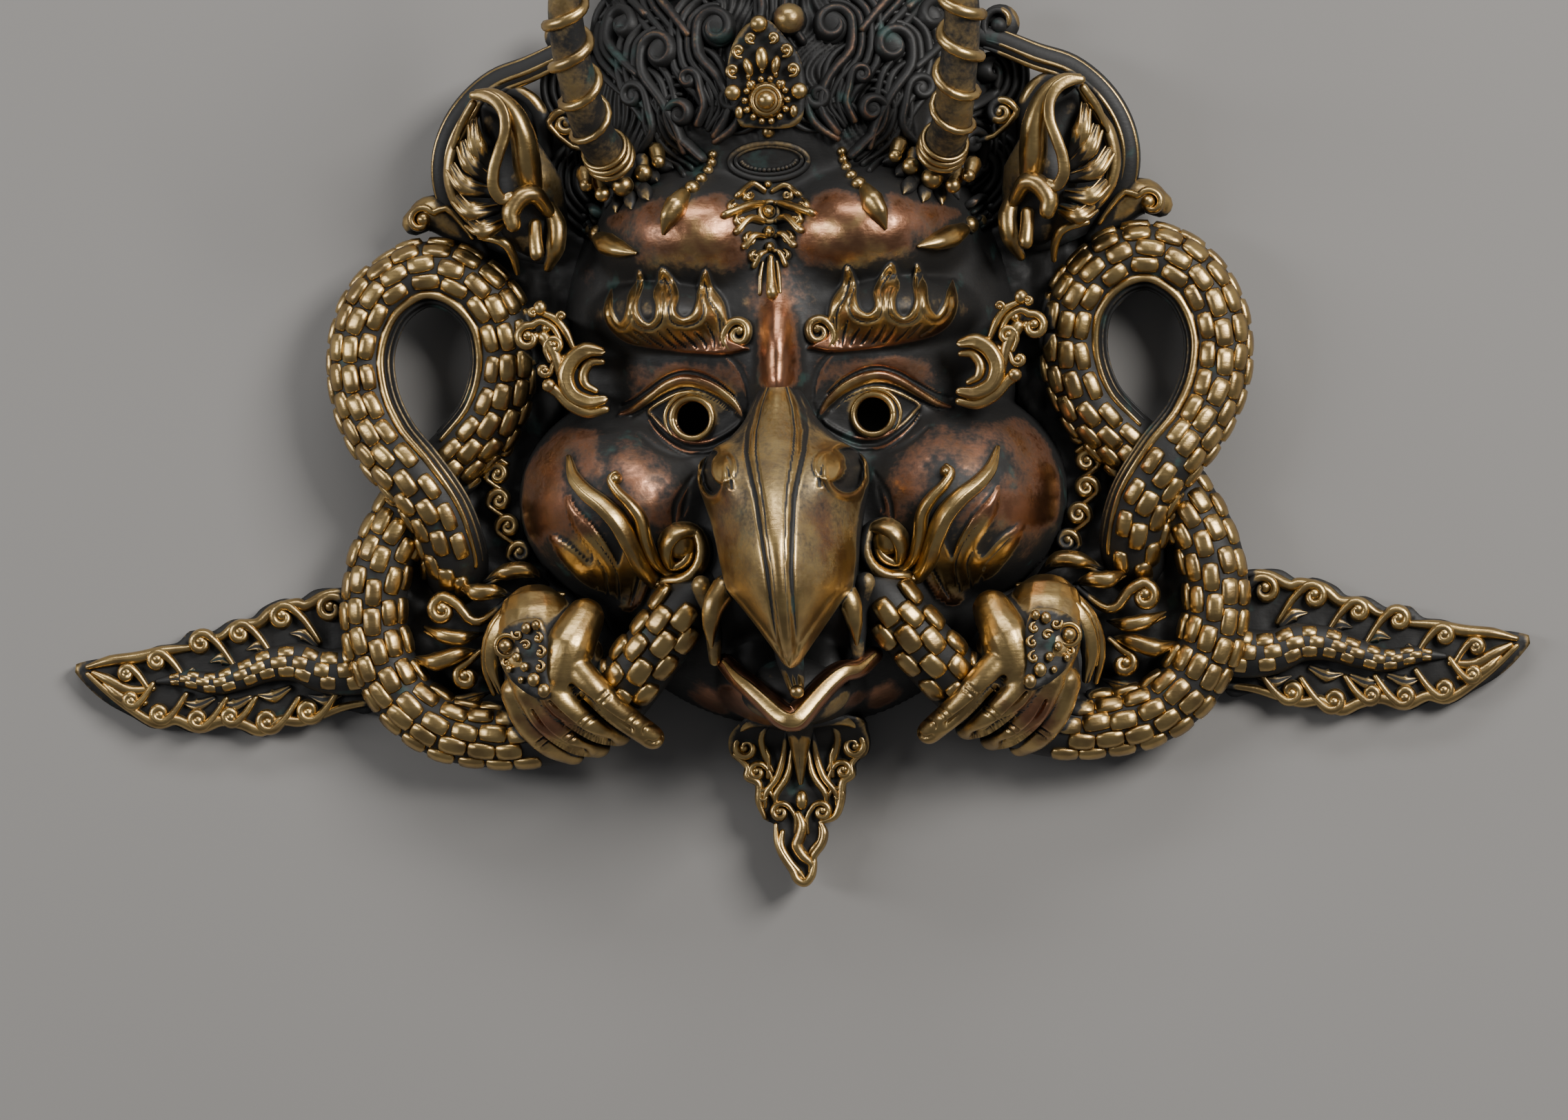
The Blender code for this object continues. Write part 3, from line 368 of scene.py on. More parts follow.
class Clay:
    """Mesh of one piece while it is worked, in millimetres on the mask."""

    def __init__(self) -> None:
        """Start with nothing; side 1 is the viewer's right half and -1 the left one."""
        self.mesh = bmesh.new()
        self.side = 1.0
        self.rub = 0.0
        self.warm = 0.0
        self.layers = [self.mesh.verts.layers.float.new(name) for name in ("rub", "warm")]

    def mark(self, verts: Verts) -> None:
        """Note on new vertices how much more they are rubbed, and how coppery they are."""
        for vert in verts:
            vert[self.layers[0]] = self.rub
            vert[self.layers[1]] = self.warm

    def sheet(self, along: int, around: int) -> tuple[list[bmesh.types.BMVert], Numbers, Numbers]:
        """Grid of faces to be laid over a shape.

        Args:
            along: faces along the first way.
            around: faces along the second way.

        Returns:
            The vertices and their shares, from 0 to 1, along both ways.
        """
        made = bmesh.ops.create_grid(self.mesh, x_segments=along, y_segments=around, size=1.0)["verts"]
        self.mark(made)
        flat = np.array([vert.co[:2] for vert in made])
        return made, (flat[:, 0] + 1.0) / 2.0, (flat[:, 1] + 1.0) / 2.0

    def put(self, verts: Verts, places: Numbers) -> None:
        """Move vertices to their places on the side being worked."""
        rows = np.array(places, dtype=float)
        rows[:, 0] *= self.side
        for vert, place in zip(verts, rows.tolist()):
            vert.co = place

    def band(self, path: Route | Numbers, halves: Span,
             heights: Span | None = None, sides: int = 8, sink: float = 1.0,
             square: float = 1.0, grooves: Span = (), cut: float = 0.5,
             ups: Numbers | None = None) -> None:
        """Closed band or rod along a path of true places.

        Args:
            path: places (x, y, z) in order.
            halves: half widths, run evenly along it.
            heights: heights over the path, or None for a round rod.
            sides: faces round it.
            sink: depth under the path as a share of its height.
            square: below 1 for a fuller, boxier section.
            grooves: engraved lines on top, from -1 at the left edge to 1 at the right.
            cut: depth of those lines.
            ups: direction of the top at each place, or None for straight up.
        """
        rows = np.array(path, dtype=float)
        count = len(rows)
        wide = spread(halves, count)
        tall = wide if heights is None else spread(heights, count)
        ahead, across, rise = axes(rows, UP if ups is None else ups)
        turns = np.radians((90.0, 60.0, 30.0))
        head = rows[0] - ahead[0] * (wide[0] * np.sin(turns))[:, None]
        tail = rows[-1] + ahead[-1] * (wide[-1] * np.sin(turns[::-1]))[:, None]
        rows = np.vstack((head, rows, tail))
        ends = np.r_[[0] * 3, np.arange(count), [count - 1] * 3]
        swell = np.r_[np.cos(turns), np.ones(count), np.cos(turns[::-1])]
        swell[[0, -1]] = 0.0
        across, rise, wide, tall = across[ends], rise[ends], wide[ends] * swell, tall[ends] * swell
        made, along, around = self.sheet(len(rows) - 1, sides)
        index = np.rint(along * (len(rows) - 1)).astype(int)
        angle = around * math.tau
        lateral = np.sign(np.cos(angle)) * np.abs(np.cos(angle)) ** square
        level = np.where(np.sin(angle) > 0.0, np.abs(np.sin(angle)) ** square, sink * np.sin(angle))
        lines = np.zeros(len(made))
        for place in grooves:
            lines += cut * np.exp(-((lateral - place) / 0.13) ** 2) * (np.sin(angle) > 0.01)
        lift = tall[index] * level - lines * np.minimum(1.0, tall[index])
        places = rows[index] + across[index] * (wide[index] * lateral)[:, None]
        self.put(made, places + rise[index] * lift[:, None])
        bmesh.ops.remove_doubles(self.mesh, verts=made, dist=WELD)

    def drape(self, points: Route, halves: Span,
              heights: Span | None = None, lift: float = 0.0, spans: int = 5,
              **ways: object) -> None:
        """Band that lies on the ground; points are seen places (x, y)."""
        rows = SIGHT.grounded(smooth(points, spans), FORM)
        ups = FORM.normal(rows[:, 0], rows[:, 1])
        self.band(rows + ups * lift, halves, heights, ups=ups, **ways)

    def rod(self, points: Route, halves: Span,
            heights: Span | None = None, level: float | None = None, spans: int = 5,
            **ways: object) -> None:
        """Band through seen places (x, y, z), or through (x, y) at one level."""
        if level is not None:
            points = [(x, y, level) for x, y in points]
        self.band(SIGHT.true(smooth(points, spans)), halves, heights, **ways)

    def curl(self, centre: Span, radius: float, start: float, turns: float,
             thick: float, level: float | None = None, stem: Route = (), rise: float = 1.2,
             eye: float = 1.15, **ways: object) -> None:
        """Scroll with a bead in its middle.

        Args:
            centre: its middle as seen.
            radius: reach of its rim.
            start: angle at which it starts, in degrees.
            turns: turns it makes, below 0 for clockwise.
            thick: half width of its band.
            level: height of the band, or None on the ground.
            stem: places that lead into it.
            rise: height as a share of the half width.
            eye: radius of the bead as a share of the half width.
            ways: more ways of a band.
        """
        flat = list(stem) + spiral(centre, radius, start, turns)
        halves = (thick * 0.6, thick, thick, thick, thick * 0.8, thick * 0.7)
        heights = [half * rise for half in halves]
        if level is None:
            self.drape(flat, halves, heights, 0.3, 2, **ways)
            middle = SIGHT.grounded(np.array([flat[-1]]), FORM)[0]
        else:
            self.rod(flat, halves, heights, level, 2, **ways)
            middle = SIGHT.true(np.array([(*flat[-1], level)]))[0]
        self.bead(middle + (0.0, 0.0, thick * 0.35), thick * eye, true=True)

    def bead(self, centre: Span, radii: float | Span, turn: float = 0.0,
             detail: int = 2, true: bool = False) -> None:
        """Ball or ellipsoid; a seen place (x, y) alone puts it on the ground."""
        place = np.array([centre], dtype=float)
        if not true:
            place = SIGHT.true(place) if place.shape[1] == 3 else SIGHT.grounded(place, FORM)
        x, y, z = place[0]
        size = Matrix.Diagonal((*np.broadcast_to(radii, 3).tolist(), 1.0))
        spin = Matrix.Rotation(math.radians(turn) * self.side, 4, "Z")
        spot = Matrix.Translation((x * self.side, y, z))
        self.mark(bmesh.ops.create_icosphere(self.mesh, subdivisions=detail, radius=1.0,
                                             matrix=spot @ spin @ size)["verts"])

    def ring(self, centre: Span, reach: Span, thick: float,
             level: float | None = None, count: int = 28) -> None:
        """Closed round or oval rod about a seen place."""
        turn = np.linspace(0.0, math.tau, count + 1)
        flat = np.column_stack((centre[0] + reach[0] * np.cos(turn), centre[1] + reach[1] * np.sin(turn)))
        if level is None:
            self.drape(flat, (thick,), lift=thick * 0.4, spans=1)
        else:
            self.rod(flat, (thick,), level=level, spans=1)

    def pebble(self, centre: Numbers, ahead: Numbers, top: Numbers, reach: tuple[float, float],
               rise: float, detail: int = 5) -> None:
        """Scale with a rounded outline and a flattish top, sunk a little at its edge."""
        made, along, around = self.sheet(detail, detail)
        u, v = np.sin((along - 0.5) * math.pi), np.sin((around - 0.5) * math.pi)
        corner = np.sqrt(1.0 - 0.3 * v * v), np.sqrt(1.0 - 0.3 * u * u)
        side = np.cross(ahead, top)
        level = rise * ((1.0 - u ** 4) * (1.0 - v ** 4)) ** 0.3 - 1.0
        places = (centre + (u * corner[0] * reach[0])[:, None] * ahead
                  + (v * corner[1] * reach[1])[:, None] * side + level[:, None] * top)
        self.put(made, places)
        edges = [edge for edge in {e for vert in made for e in vert.link_edges} if edge.is_boundary]
        bmesh.ops.holes_fill(self.mesh, edges=edges, sides=0)

    def quilt(self, outline: Route, top: HeightOf, bottom: float, step: float) -> None:
        """Closed plate inside a true outline, with a worked top and a flat bottom."""
        edge = Line(Carving.SHELF, np.array(smooth(list(outline) + [outline[0]], 6))[:-1],
                    np.ones(1), 0.0)
        low, high = edge.path.min(axis=0), edge.path.max(axis=0)
        counts = [max(2, int((high[axis] - low[axis]) / step)) for axis in (0, 1)]
        made, along, around = self.sheet(counts[0], counts[1])
        x, y = low[0] + along * (high[0] - low[0]), low[1] + around * (high[1] - low[1])
        within = edge.inside(x, y)
        keep = []
        for vert, good, place_x, place_y in zip(made, within, x, y):
            if good:
                keep.append((vert, place_x, place_y))
            else:
                self.mesh.verts.remove(vert)
        ring = np.vstack((edge.path, edge.path[:1]))
        flat = np.array([(row[1], row[2]) for row in keep])
        for index, (vert, _, _) in enumerate(keep):
            if any(side.is_boundary for side in vert.link_edges):
                flat[index] = self.nearest(ring, flat[index])
        level = top(flat[:, 0], flat[:, 1])
        self.put([row[0] for row in keep], np.column_stack((flat, level)))
        loose = [row[0] for row in keep if not row[0].link_faces]
        bmesh.ops.delete(self.mesh, geom=loose, context="VERTS")
        faces = {face for row in keep if row[0].is_valid for face in row[0].link_faces}
        rise = bmesh.ops.extrude_face_region(self.mesh, geom=list(faces))
        for item in rise["geom"]:
            if isinstance(item, bmesh.types.BMVert):
                item.co.z = bottom

    @staticmethod
    def nearest(ring: Numbers, place: Numbers) -> Numbers:
        """Nearest place on a closed outline."""
        ahead = ring[1:] - ring[:-1]
        length = np.maximum((ahead ** 2).sum(axis=1), 1e-9)
        share = np.clip(((place - ring[:-1]) * ahead).sum(axis=1) / length, 0.0, 1.0)
        spots = ring[:-1] + ahead * share[:, None]
        return spots[np.argmin(((spots - place) ** 2).sum(axis=1))]

    def turn_outward(self) -> None:
        """Turn over each closed lump whose faces look inward."""
        seen = set()
        wrong = []
        for first in self.mesh.faces:
            if first in seen:
                continue
            seen.add(first)
            lump = [first]
            for face in lump:
                for edge in face.edges:
                    for other in edge.link_faces:
                        if other not in seen:
                            seen.add(other)
                            lump.append(other)
            middle = first.verts[0].co.copy()
            held = 0.0
            for face in lump:
                held += face.normal.dot(face.verts[0].co - middle) * face.calc_area()
            if held < 0.0:
                wrong += lump
        if wrong:
            bmesh.ops.reverse_faces(self.mesh, faces=wrong)

    def finish(self, name: str, skin: "Finish", keep_hollow: bool = True) -> bpy.types.Object:
        """Piece of the scene from the worked mesh.

        Args:
            name: the piece's name.
            skin: its finish.
            keep_hollow: whether to lift what would show inside the hollow.

        Returns:
            The new object, in the row frame.
        """
        verts = self.mesh.verts[:]
        rows = np.array([vert.co[:] for vert in verts])
        if keep_hollow:
            inner = FORM.hollow(rows[:, 0], rows[:, 1])
            rows[:, 2] = np.where(inner > 0.0, np.maximum(rows[:, 2], inner + 1.2), rows[:, 2])
        rows[:, 2] = np.maximum(rows[:, 2], 0.0)
        for vert, place in zip(verts, rows.tolist()):
            vert.co = place
        bmesh.ops.recalc_face_normals(self.mesh, faces=self.mesh.faces)
        self.turn_outward()
        bmesh.ops.translate(self.mesh, vec=(0.0, -MIDDLE_Y, 0.0), verts=self.mesh.verts)
        bmesh.ops.scale(self.mesh, vec=(MM, MM, MM), verts=self.mesh.verts)
        for face in self.mesh.faces:
            face.smooth = True
        data = bpy.data.meshes.new(name)
        self.mesh.to_mesh(data)
        self.mesh.free()
        piece = add_object(name, data)
        data.materials.append(skin.material())
        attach(piece, "root")
        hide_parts("mask")
        LOG.info("%s: %d faces", name, len(data.polygons))
        return piece


class Nodes:
    """Shader nodes of one material."""

    def __init__(self, name: str) -> None:
        """Start the material."""
        self.material = bpy.data.materials.new(name)
        self.material.use_nodes = True
        self.tree = self.material.node_tree
        self.place = self.add("TexCoord").outputs["Object"]

    def join(self, socket: Socket, value: Socket | float | Span) -> None:
        """Give an input a value or another node's output."""
        if isinstance(value, bpy.types.NodeSocket):
            self.tree.links.new(value, socket)
        else:
            socket.default_value = value

    def add(self, kind: str, inputs: dict[str | int, Socket | float | Span] | None = None,
            **options: str) -> bpy.types.Node:
        """New node with its options and inputs set."""
        node = self.tree.nodes.new("ShaderNode" + kind)
        for name, value in options.items():
            setattr(node, name, value)
        for key, value in (inputs or {}).items():
            self.join(node.inputs[key], value)
        return node

    def noise(self, scale: float, detail: float, place: Socket | None = None) -> Socket:
        """Noise over the piece, or at another node's places."""
        vector = self.place if place is None else place
        return self.add("TexNoise", {"Scale": scale, "Detail": detail, "Vector": vector}).outputs["Fac"]

    def carried(self, name: str) -> Socket:
        """A value that the mesh carries at its points."""
        return self.add("Attribute", attribute_name=name).outputs["Fac"]

    def math(self, way: str, *values: Socket | float) -> Socket:
        """Sum of one kind."""
        return self.add("Math", dict(enumerate(values)), operation=way).outputs["Value"]

    def ramp(self, value: Socket, low: float, high: float, to_low: float, to_high: float) -> Socket:
        """Value run smoothly from one range to another."""
        return self.add("MapRange", {"Value": value, "From Min": low, "From Max": high,
                                     "To Min": to_low, "To Max": to_high},
                        interpolation_type="SMOOTHSTEP").outputs["Result"]

    def mix(self, share: Socket, first: Colour | Socket, second: Colour | Socket) -> Socket:
        """Colour between two."""
        colours = [value if isinstance(value, bpy.types.NodeSocket) else (*value, 1.0)
                   for value in (first, second)]
        return self.add("Mix", {"Factor": share, 6: colours[0], 7: colours[1]},
                        data_type="RGBA").outputs[2]

    def dress(self, **looks: Socket | float) -> bpy.types.Material:
        """Join values to the shader's inputs, whose names have _ for a space."""
        shader = self.tree.nodes["Principled BSDF"]
        for name, value in looks.items():
            self.join(shader.inputs[name.replace("_", " ")], value)
        return self.material


@dataclass(frozen=True)
class Finish:
    """Cast alloy under a dark patina, rubbed bright where hands and cloth reach."""

    name: str
    brass: Colour = (0.58, 0.405, 0.17)
    copper: Colour = (0.43, 0.20, 0.115)
    tarnish: Colour = (0.19, 0.115, 0.06)
    patina: Colour = (0.021, 0.0205, 0.020)
    bloom: Colour = (0.06, 0.17, 0.15)
    rub: float = 0.0
    blotch: float = 0.35
    verdigris: float = 0.25

    def material(self) -> bpy.types.Material:
        """The finish as a material; it is made once and shared."""
        known = bpy.data.materials.get(self.name)
        return known if known else self.make()

    def make(self) -> bpy.types.Material:
        """Build the finish's nodes."""
        nodes = Nodes(self.name)
        blotches, grain, hue = nodes.noise(55, 5), nodes.noise(700, 3), nodes.noise(120, 3)
        brushed = nodes.add("Mapping", {"Vector": nodes.place, "Rotation": (0.0, 0.0, 0.6),
                                        "Scale": (220.0, 1600.0, 700.0)})
        scratch = nodes.noise(1, 2, brushed.outputs["Vector"])
        mottle = nodes.math("MULTIPLY_ADD", blotches, self.blotch, self.rub - 0.5 * self.blotch)
        mottle = nodes.math("MULTIPLY_ADD", grain, 0.22, mottle)
        rubbed = nodes.math("ADD", nodes.carried("wear"), nodes.math("SUBTRACT", mottle, 0.11))
        rubbed = nodes.ramp(rubbed, 0.30, 0.66, 0.0, 1.0)
        coppery = nodes.math("SUBTRACT", nodes.carried("warmth"), 0.35)
        coppery = nodes.ramp(nodes.math("MULTIPLY_ADD", hue, 0.7, coppery), 0.3, 0.7, 0.0, 1.0)
        metal = nodes.mix(coppery, self.brass, self.copper)
        tarnished = nodes.mix(nodes.ramp(hue, 0.35, 0.7, 0.0, 0.5), metal, self.tarnish)
        bloom = nodes.ramp(nodes.noise(95, 4), 0.60, 0.74, 0.0, self.verdigris)
        bloom = nodes.math("MULTIPLY", bloom, nodes.math("SUBTRACT", 1.0, rubbed))
        gloss = nodes.math("SUBTRACT", nodes.ramp(rubbed, 0.0, 1.0, 0.54, 0.30), 0.05)
        relief = nodes.math("MULTIPLY_ADD", scratch, 0.35, nodes.math("MULTIPLY", grain, 0.8))
        bump = nodes.add("Bump", {"Strength": 0.35, "Distance": 0.00025, "Height": relief})
        return nodes.dress(
            Base_Color=nodes.mix(bloom, nodes.mix(rubbed, self.patina, tarnished), self.bloom),
            Metallic=nodes.ramp(rubbed, 0.0, 1.0, 0.35, 1.0),
            Roughness=nodes.math("MULTIPLY_ADD", scratch, 0.14, gloss),
            Normal=bump.outputs["Normal"])


RUBBED = Finish("rubbed brass")
SKIN = Finish("rubbed copper skin", rub=0.03, blotch=0.65)
HORN = Finish("mottled horn", blotch=0.75)
DARK = Finish("dark hair", rub=-0.17, blotch=0.3)


class Pair(ABC):
    """Piece whose two halves match."""

    name = ""
    skin = RUBBED
    keep_hollow = True

    @abstractmethod
    def half(self, clay: Clay) -> None:
        """Work one half."""

    def build(self) -> bpy.types.Object:
        """Model both halves as one piece."""
        clay = Clay()
        for side in SIDES:
            clay.side = side
            self.half(clay)
        return clay.finish(self.name, self.skin, self.keep_hollow)


def turned(angle: float, side: float) -> float:
    """Angle in degrees, mirrored on the left half."""
    return angle if side > 0.0 else 180.0 - angle


@dataclass
class Head:
    """Skull, cheeks, brows and crest in one hollow shell with pierced pupils."""

    pupil: float = 5.8
    fine: float = 0.56
    coarse: float = 1.15
    lining: float = 2.4
    low: tuple[float, float] = (-104.0, -116.0)
    high: tuple[float, float] = (104.0, 200.0)
    rub_of_carving: float = 0.14

    def lines(self, low: float, high: float, fine_low: float, fine_high: float) -> Numbers:
        """Grid lines that stand closer between two places."""
        before = np.arange(low, fine_low, self.coarse)
        middle = np.arange(fine_low, fine_high, self.fine)
        return np.concatenate((before, middle, np.arange(fine_high, high, self.coarse)))

    def relief(self) -> Relief:
        """Brow, lids, creases and cheek flames."""
        work = Relief()
        brow = ((8, 22), (16, 20.3), (27, 20.8), (36, 21.6), (45, 23), (53, 25.5), (58, 30), (60, 37),
                (59, 44.5), (57, 41), (55.6, 36), (53, 32.3), (50.6, 34.5), (49.6, 38.5), (49.6, 44),
                (46.6, 50), (44.8, 45), (45.6, 38), (44, 33.6), (41.5, 31.8), (39, 33.6), (38.4, 38),
                (40.4, 44), (37.6, 50.6), (33.2, 46), (31.2, 41), (31.6, 36), (29.3, 33.4), (26.2, 34.8),
                (25, 39), (25.2, 44), (22, 49.6), (20.2, 44), (16.6, 38.5), (15.2, 32), (15, 26),
                (11, 24))
        work.shelf(brow, 0.8, 3.1)
        for points in (
                ((23.2, 46), (21.5, 40), (18.4, 34), (18, 28), (18.6, 23)),
                ((24.4, 42), (22.6, 36.5), (24, 32.2), (28.5, 30.4), (33, 32),
                 (34, 37), (33.6, 41.5), (37, 47)),
                ((37, 42), (36, 37), (36.8, 32), (41.3, 29.4), (46, 31.4),
                 (47.6, 37), (46.8, 42), (47.8, 47)),
                ((47.4, 35), (49, 31.6), (52.6, 29.6), (56.6, 32.6), (58.2, 38)),
                ((17, 32), (16.4, 27), (17.2, 23)),
                ((22, 31), (20.4, 26), (20, 22.5)), ((26, 28), (23.6, 24.5), (23, 22.5)),
                ((30.5, 28.6), (28.2, 25), (26.6, 22.8)), ((35, 29.6), (33, 26), (30.6, 23)),
                ((38.5, 28.8), (36.6, 25.8), (34.2, 23.2)), ((43.5, 28.4), (41, 25.6), (38.6, 23.6)),
                ((47.5, 29), (45, 26.6), (42.6, 24.4)), ((52, 28.4), (49.6, 26.6), (47.2, 25))):
            work.groove(points, 0.55, 1.3)
        lid = ((11, -2.5), (14.5, 3), (20, 7.6), (27, 10.8), (33, 11.4), (39, 9.6), (45, 6), (52, 2),
               (57, 0.5))
        work.ridge(lid, (0.8, 1.7, 2.2, 2.3, 2.1, 1.5, 0.8), 2.2)
        work.groove([(x, y + 2.9) for x, y in lid[1:]], 0.7, 1.5)
        work.groove([(x + 0.6, y - 2.6) for x, y in lid[1:-1]], 0.9, 1.3)
        inner = ((11.5, -2), (16, 1.6), (21, 5.2), (28, 7.6), (34, 7.4), (41, 4.6), (46, 1.4), (44, -1.4),
                 (39.5, -5.6), (33, -9.4), (25, -9.8), (18, -7), (13.5, -4), (11.5, -2))
        work.ridge(inner, (0.75,), 0.9)
        for drop, half, depth in ((2.2, 0.8, 1.2), (4.6, 0.6, 0.7)):
            fold = [(x, y - drop) for x, y in inner[6:]]
            work.groove(fold, half, depth)
        work.ridge([(x, y - 3.4) for x, y in inner[6:]], (0.5, 0.9, 0.9, 0.5), 0.8)
        flames = ((50.5, -66), (47, -60), (44.5, -53), (48, -48), (52, -44), (54, -47.5), (56.5, -52),
                  (59, -46), (63.5, -39), (70, -32), (73, -28), (72, -36), (68, -43), (64.5, -49),
                  (67.5, -52), (71.5, -47.5), (76, -44), (81, -41.5), (79, -48), (74, -55), (69, -61),
                  (62, -66.5), (56, -69))
        work.shelf(flames, 0.9, 2.4)
        for points in (
                ((55, -66), (52, -60), (49.5, -54), (51.5, -48.5)),
                ((59, -63), (57.5, -56), (59.5, -49), (64, -42.5), (69.5, -35.5)),
                ((63, -62), (61.5, -55), (63.5, -50)),
                ((66.5, -60), (68, -55), (72.5, -50), (77, -45.5))):
            work.groove(points, 0.6, 1.2)
        for points in (((16, 20), (12, 16), (9.5, 10), (9, 4)), ((12.5, -4), (10, -1), (8.5, 4)),
                       ((27, -13.5), (34, -15), (42, -12), (49, -6.5)), ((30, -22), (35, -31), (36, -38)),
                       ((31, -27), (33, -35))):
            work.groove(points, 1.0, 0.7)
        return work

    def bridge(self, x: Numbers, y: Numbers) -> Numbers:
        """Broad ridge of the nose between the brows, fuller just above the beak."""
        share = 1.0 / (1.0 + np.exp(-(y + 3.0) / 2.5)) / (1.0 + np.exp((y - 38.0) / 4.0))
        full = np.exp(-(x / 7.5) ** 2 - ((y - 7.5) / 5.0) ** 2)
        return share * (3.0 * np.exp(-(x / 7.5) ** 2) + 1.8 * full)

    def strands(self, x: Numbers, y: Numbers) -> Numbers:
        """Fine wavy locks over the crest."""
        bend = 4.5 * np.sin(y / 8.5 + np.abs(x) / 14.0) + 2.0 * np.sin(y / 4.1 - x / 9.0)
        wave = np.cos((x * 0.92 + bend) * math.tau / 3.3)
        start = 92.0 - 0.16 * np.abs(x) + 3.0 * np.sin(x / 5.0)
        share = np.clip((y - start) / 12.0, 0.0, 1.0)
        swirl = 1.8 * rough(x, y, 9.0, 5)
        return share * (0.85 * wave + swirl)

    def build(self) -> bpy.types.Object:
        """Model the shell: worked outside, plain inside, flat rim and pupil walls."""
        clay = Clay()
        columns = self.lines(self.low[0], self.high[0], -64.0, 64.0)
        rows = self.lines(self.low[1], self.high[1], -24.0, 54.0)
        made, along, around = clay.sheet(len(columns) - 1, len(rows) - 1)
        x = columns[np.rint(along * (len(columns) - 1)).astype(int)]
        y = rows[np.rint(around * (len(rows) - 1)).astype(int)]
        height = FORM.height(x, y)
        share = np.clip(height / 12.0, 0.0, 1.0)
        carved = self.relief().height(x, y)
        uneven = 0.22 * rough(x, y, 7.0, 1) + 0.12 * rough(x, y, 2.6, 2)
        height = height + share * (carved + self.bridge(x, y) + uneven + self.strands(x, y))
        clay.put(made, np.column_stack((x, y, height)))
        for vert, rise in zip(made, np.clip(carved * self.rub_of_carving, -0.35, 0.35).tolist()):
            vert[clay.layers[0]] = rise
        self.trim(clay, made)
        wide, tall = self.high[0] - self.low[0], self.high[1] - self.low[1]
        made_in, along, around = clay.sheet(int(wide / self.lining), int(tall / self.lining))
        x, y = self.low[0] + wide * along, self.low[1] + tall * around
        clay.put(made_in, np.column_stack((x, y, FORM.hollow(x, y))))
        self.trim(clay, made_in)
        rim = [edge for edge in clay.mesh.edges if edge.is_boundary
               and max(vert.co.z for vert in edge.verts) < 0.01]
        bmesh.ops.triangle_fill(clay.mesh, use_beauty=True, edges=rim, normal=(0.0, 0.0, -1.0))
        for side in (-1.0, 1.0):
            loops = [edge for edge in clay.mesh.edges if edge.is_boundary
                     and all(vert.co.z > 5.0 and vert.co.x * side > 0.0 for vert in edge.verts)]
            bmesh.ops.bridge_loops(clay.mesh, edges=loops)
        return clay.finish("head", SKIN, keep_hollow=False)

    def trim(self, clay: Clay, verts: Verts) -> None:
        """Cut one surface at the rim and round the pupils."""
        faces = {face for vert in verts for face in vert.link_faces}
        edges = {edge for vert in verts for edge in vert.link_edges}
        bmesh.ops.bisect_plane(clay.mesh, geom=list(verts) + list(edges) + list(faces),
                               plane_co=(0.0, 0.0, 0.0), plane_no=(0.0, 0.0, 1.0), clear_inner=True)
        alive = [vert for vert in clay.mesh.verts if vert.co.z > 5.0]
        for side in (-1.0, 1.0):
            eye = Vector((FORM.eye_x * side, FORM.eye_y))
            inside = [vert for vert in alive if vert.is_valid and (vert.co.xy - eye).length < self.pupil]
            bmesh.ops.delete(clay.mesh, geom=inside, context="VERTS")
            for vert in alive:
                if vert.is_valid and vert.is_boundary and (vert.co.xy - eye).length < self.pupil + 4.0:
                    away = (vert.co.xy - eye).normalized() * self.pupil
                    vert.co.x, vert.co.y = eye.x + away.x, eye.y + away.y


@dataclass
class Eyes(Pair):
    """Rings round the pupils, with a fainter arc outside each."""

    name: str = "eye_rings"
    keep_hollow: bool = False
    ring: float = 6.9
    thick: float = 1.15

    def half(self, clay: Clay) -> None:
        """Work one eye."""
        level = float(FORM.ground(np.array(FORM.eye_x), np.array(FORM.eye_y + self.ring))) + 0.4
        for reach_x, reach_y, drop, halves, sides, turn in (
                (self.ring, self.ring, 0.0, (self.thick,), 10, np.linspace(0.0, math.tau, 41)),
                (9.4, 8.6, 0.8, (0.4, 0.8, 0.8, 0.4), 6, np.radians(range(-40, 150, 8)))):
            clay.band(np.column_stack((FORM.eye_x + reach_x * np.cos(turn),
                                       FORM.eye_y + reach_y * np.sin(turn),
                                       np.full(len(turn), level - drop))), halves, sides=sides)


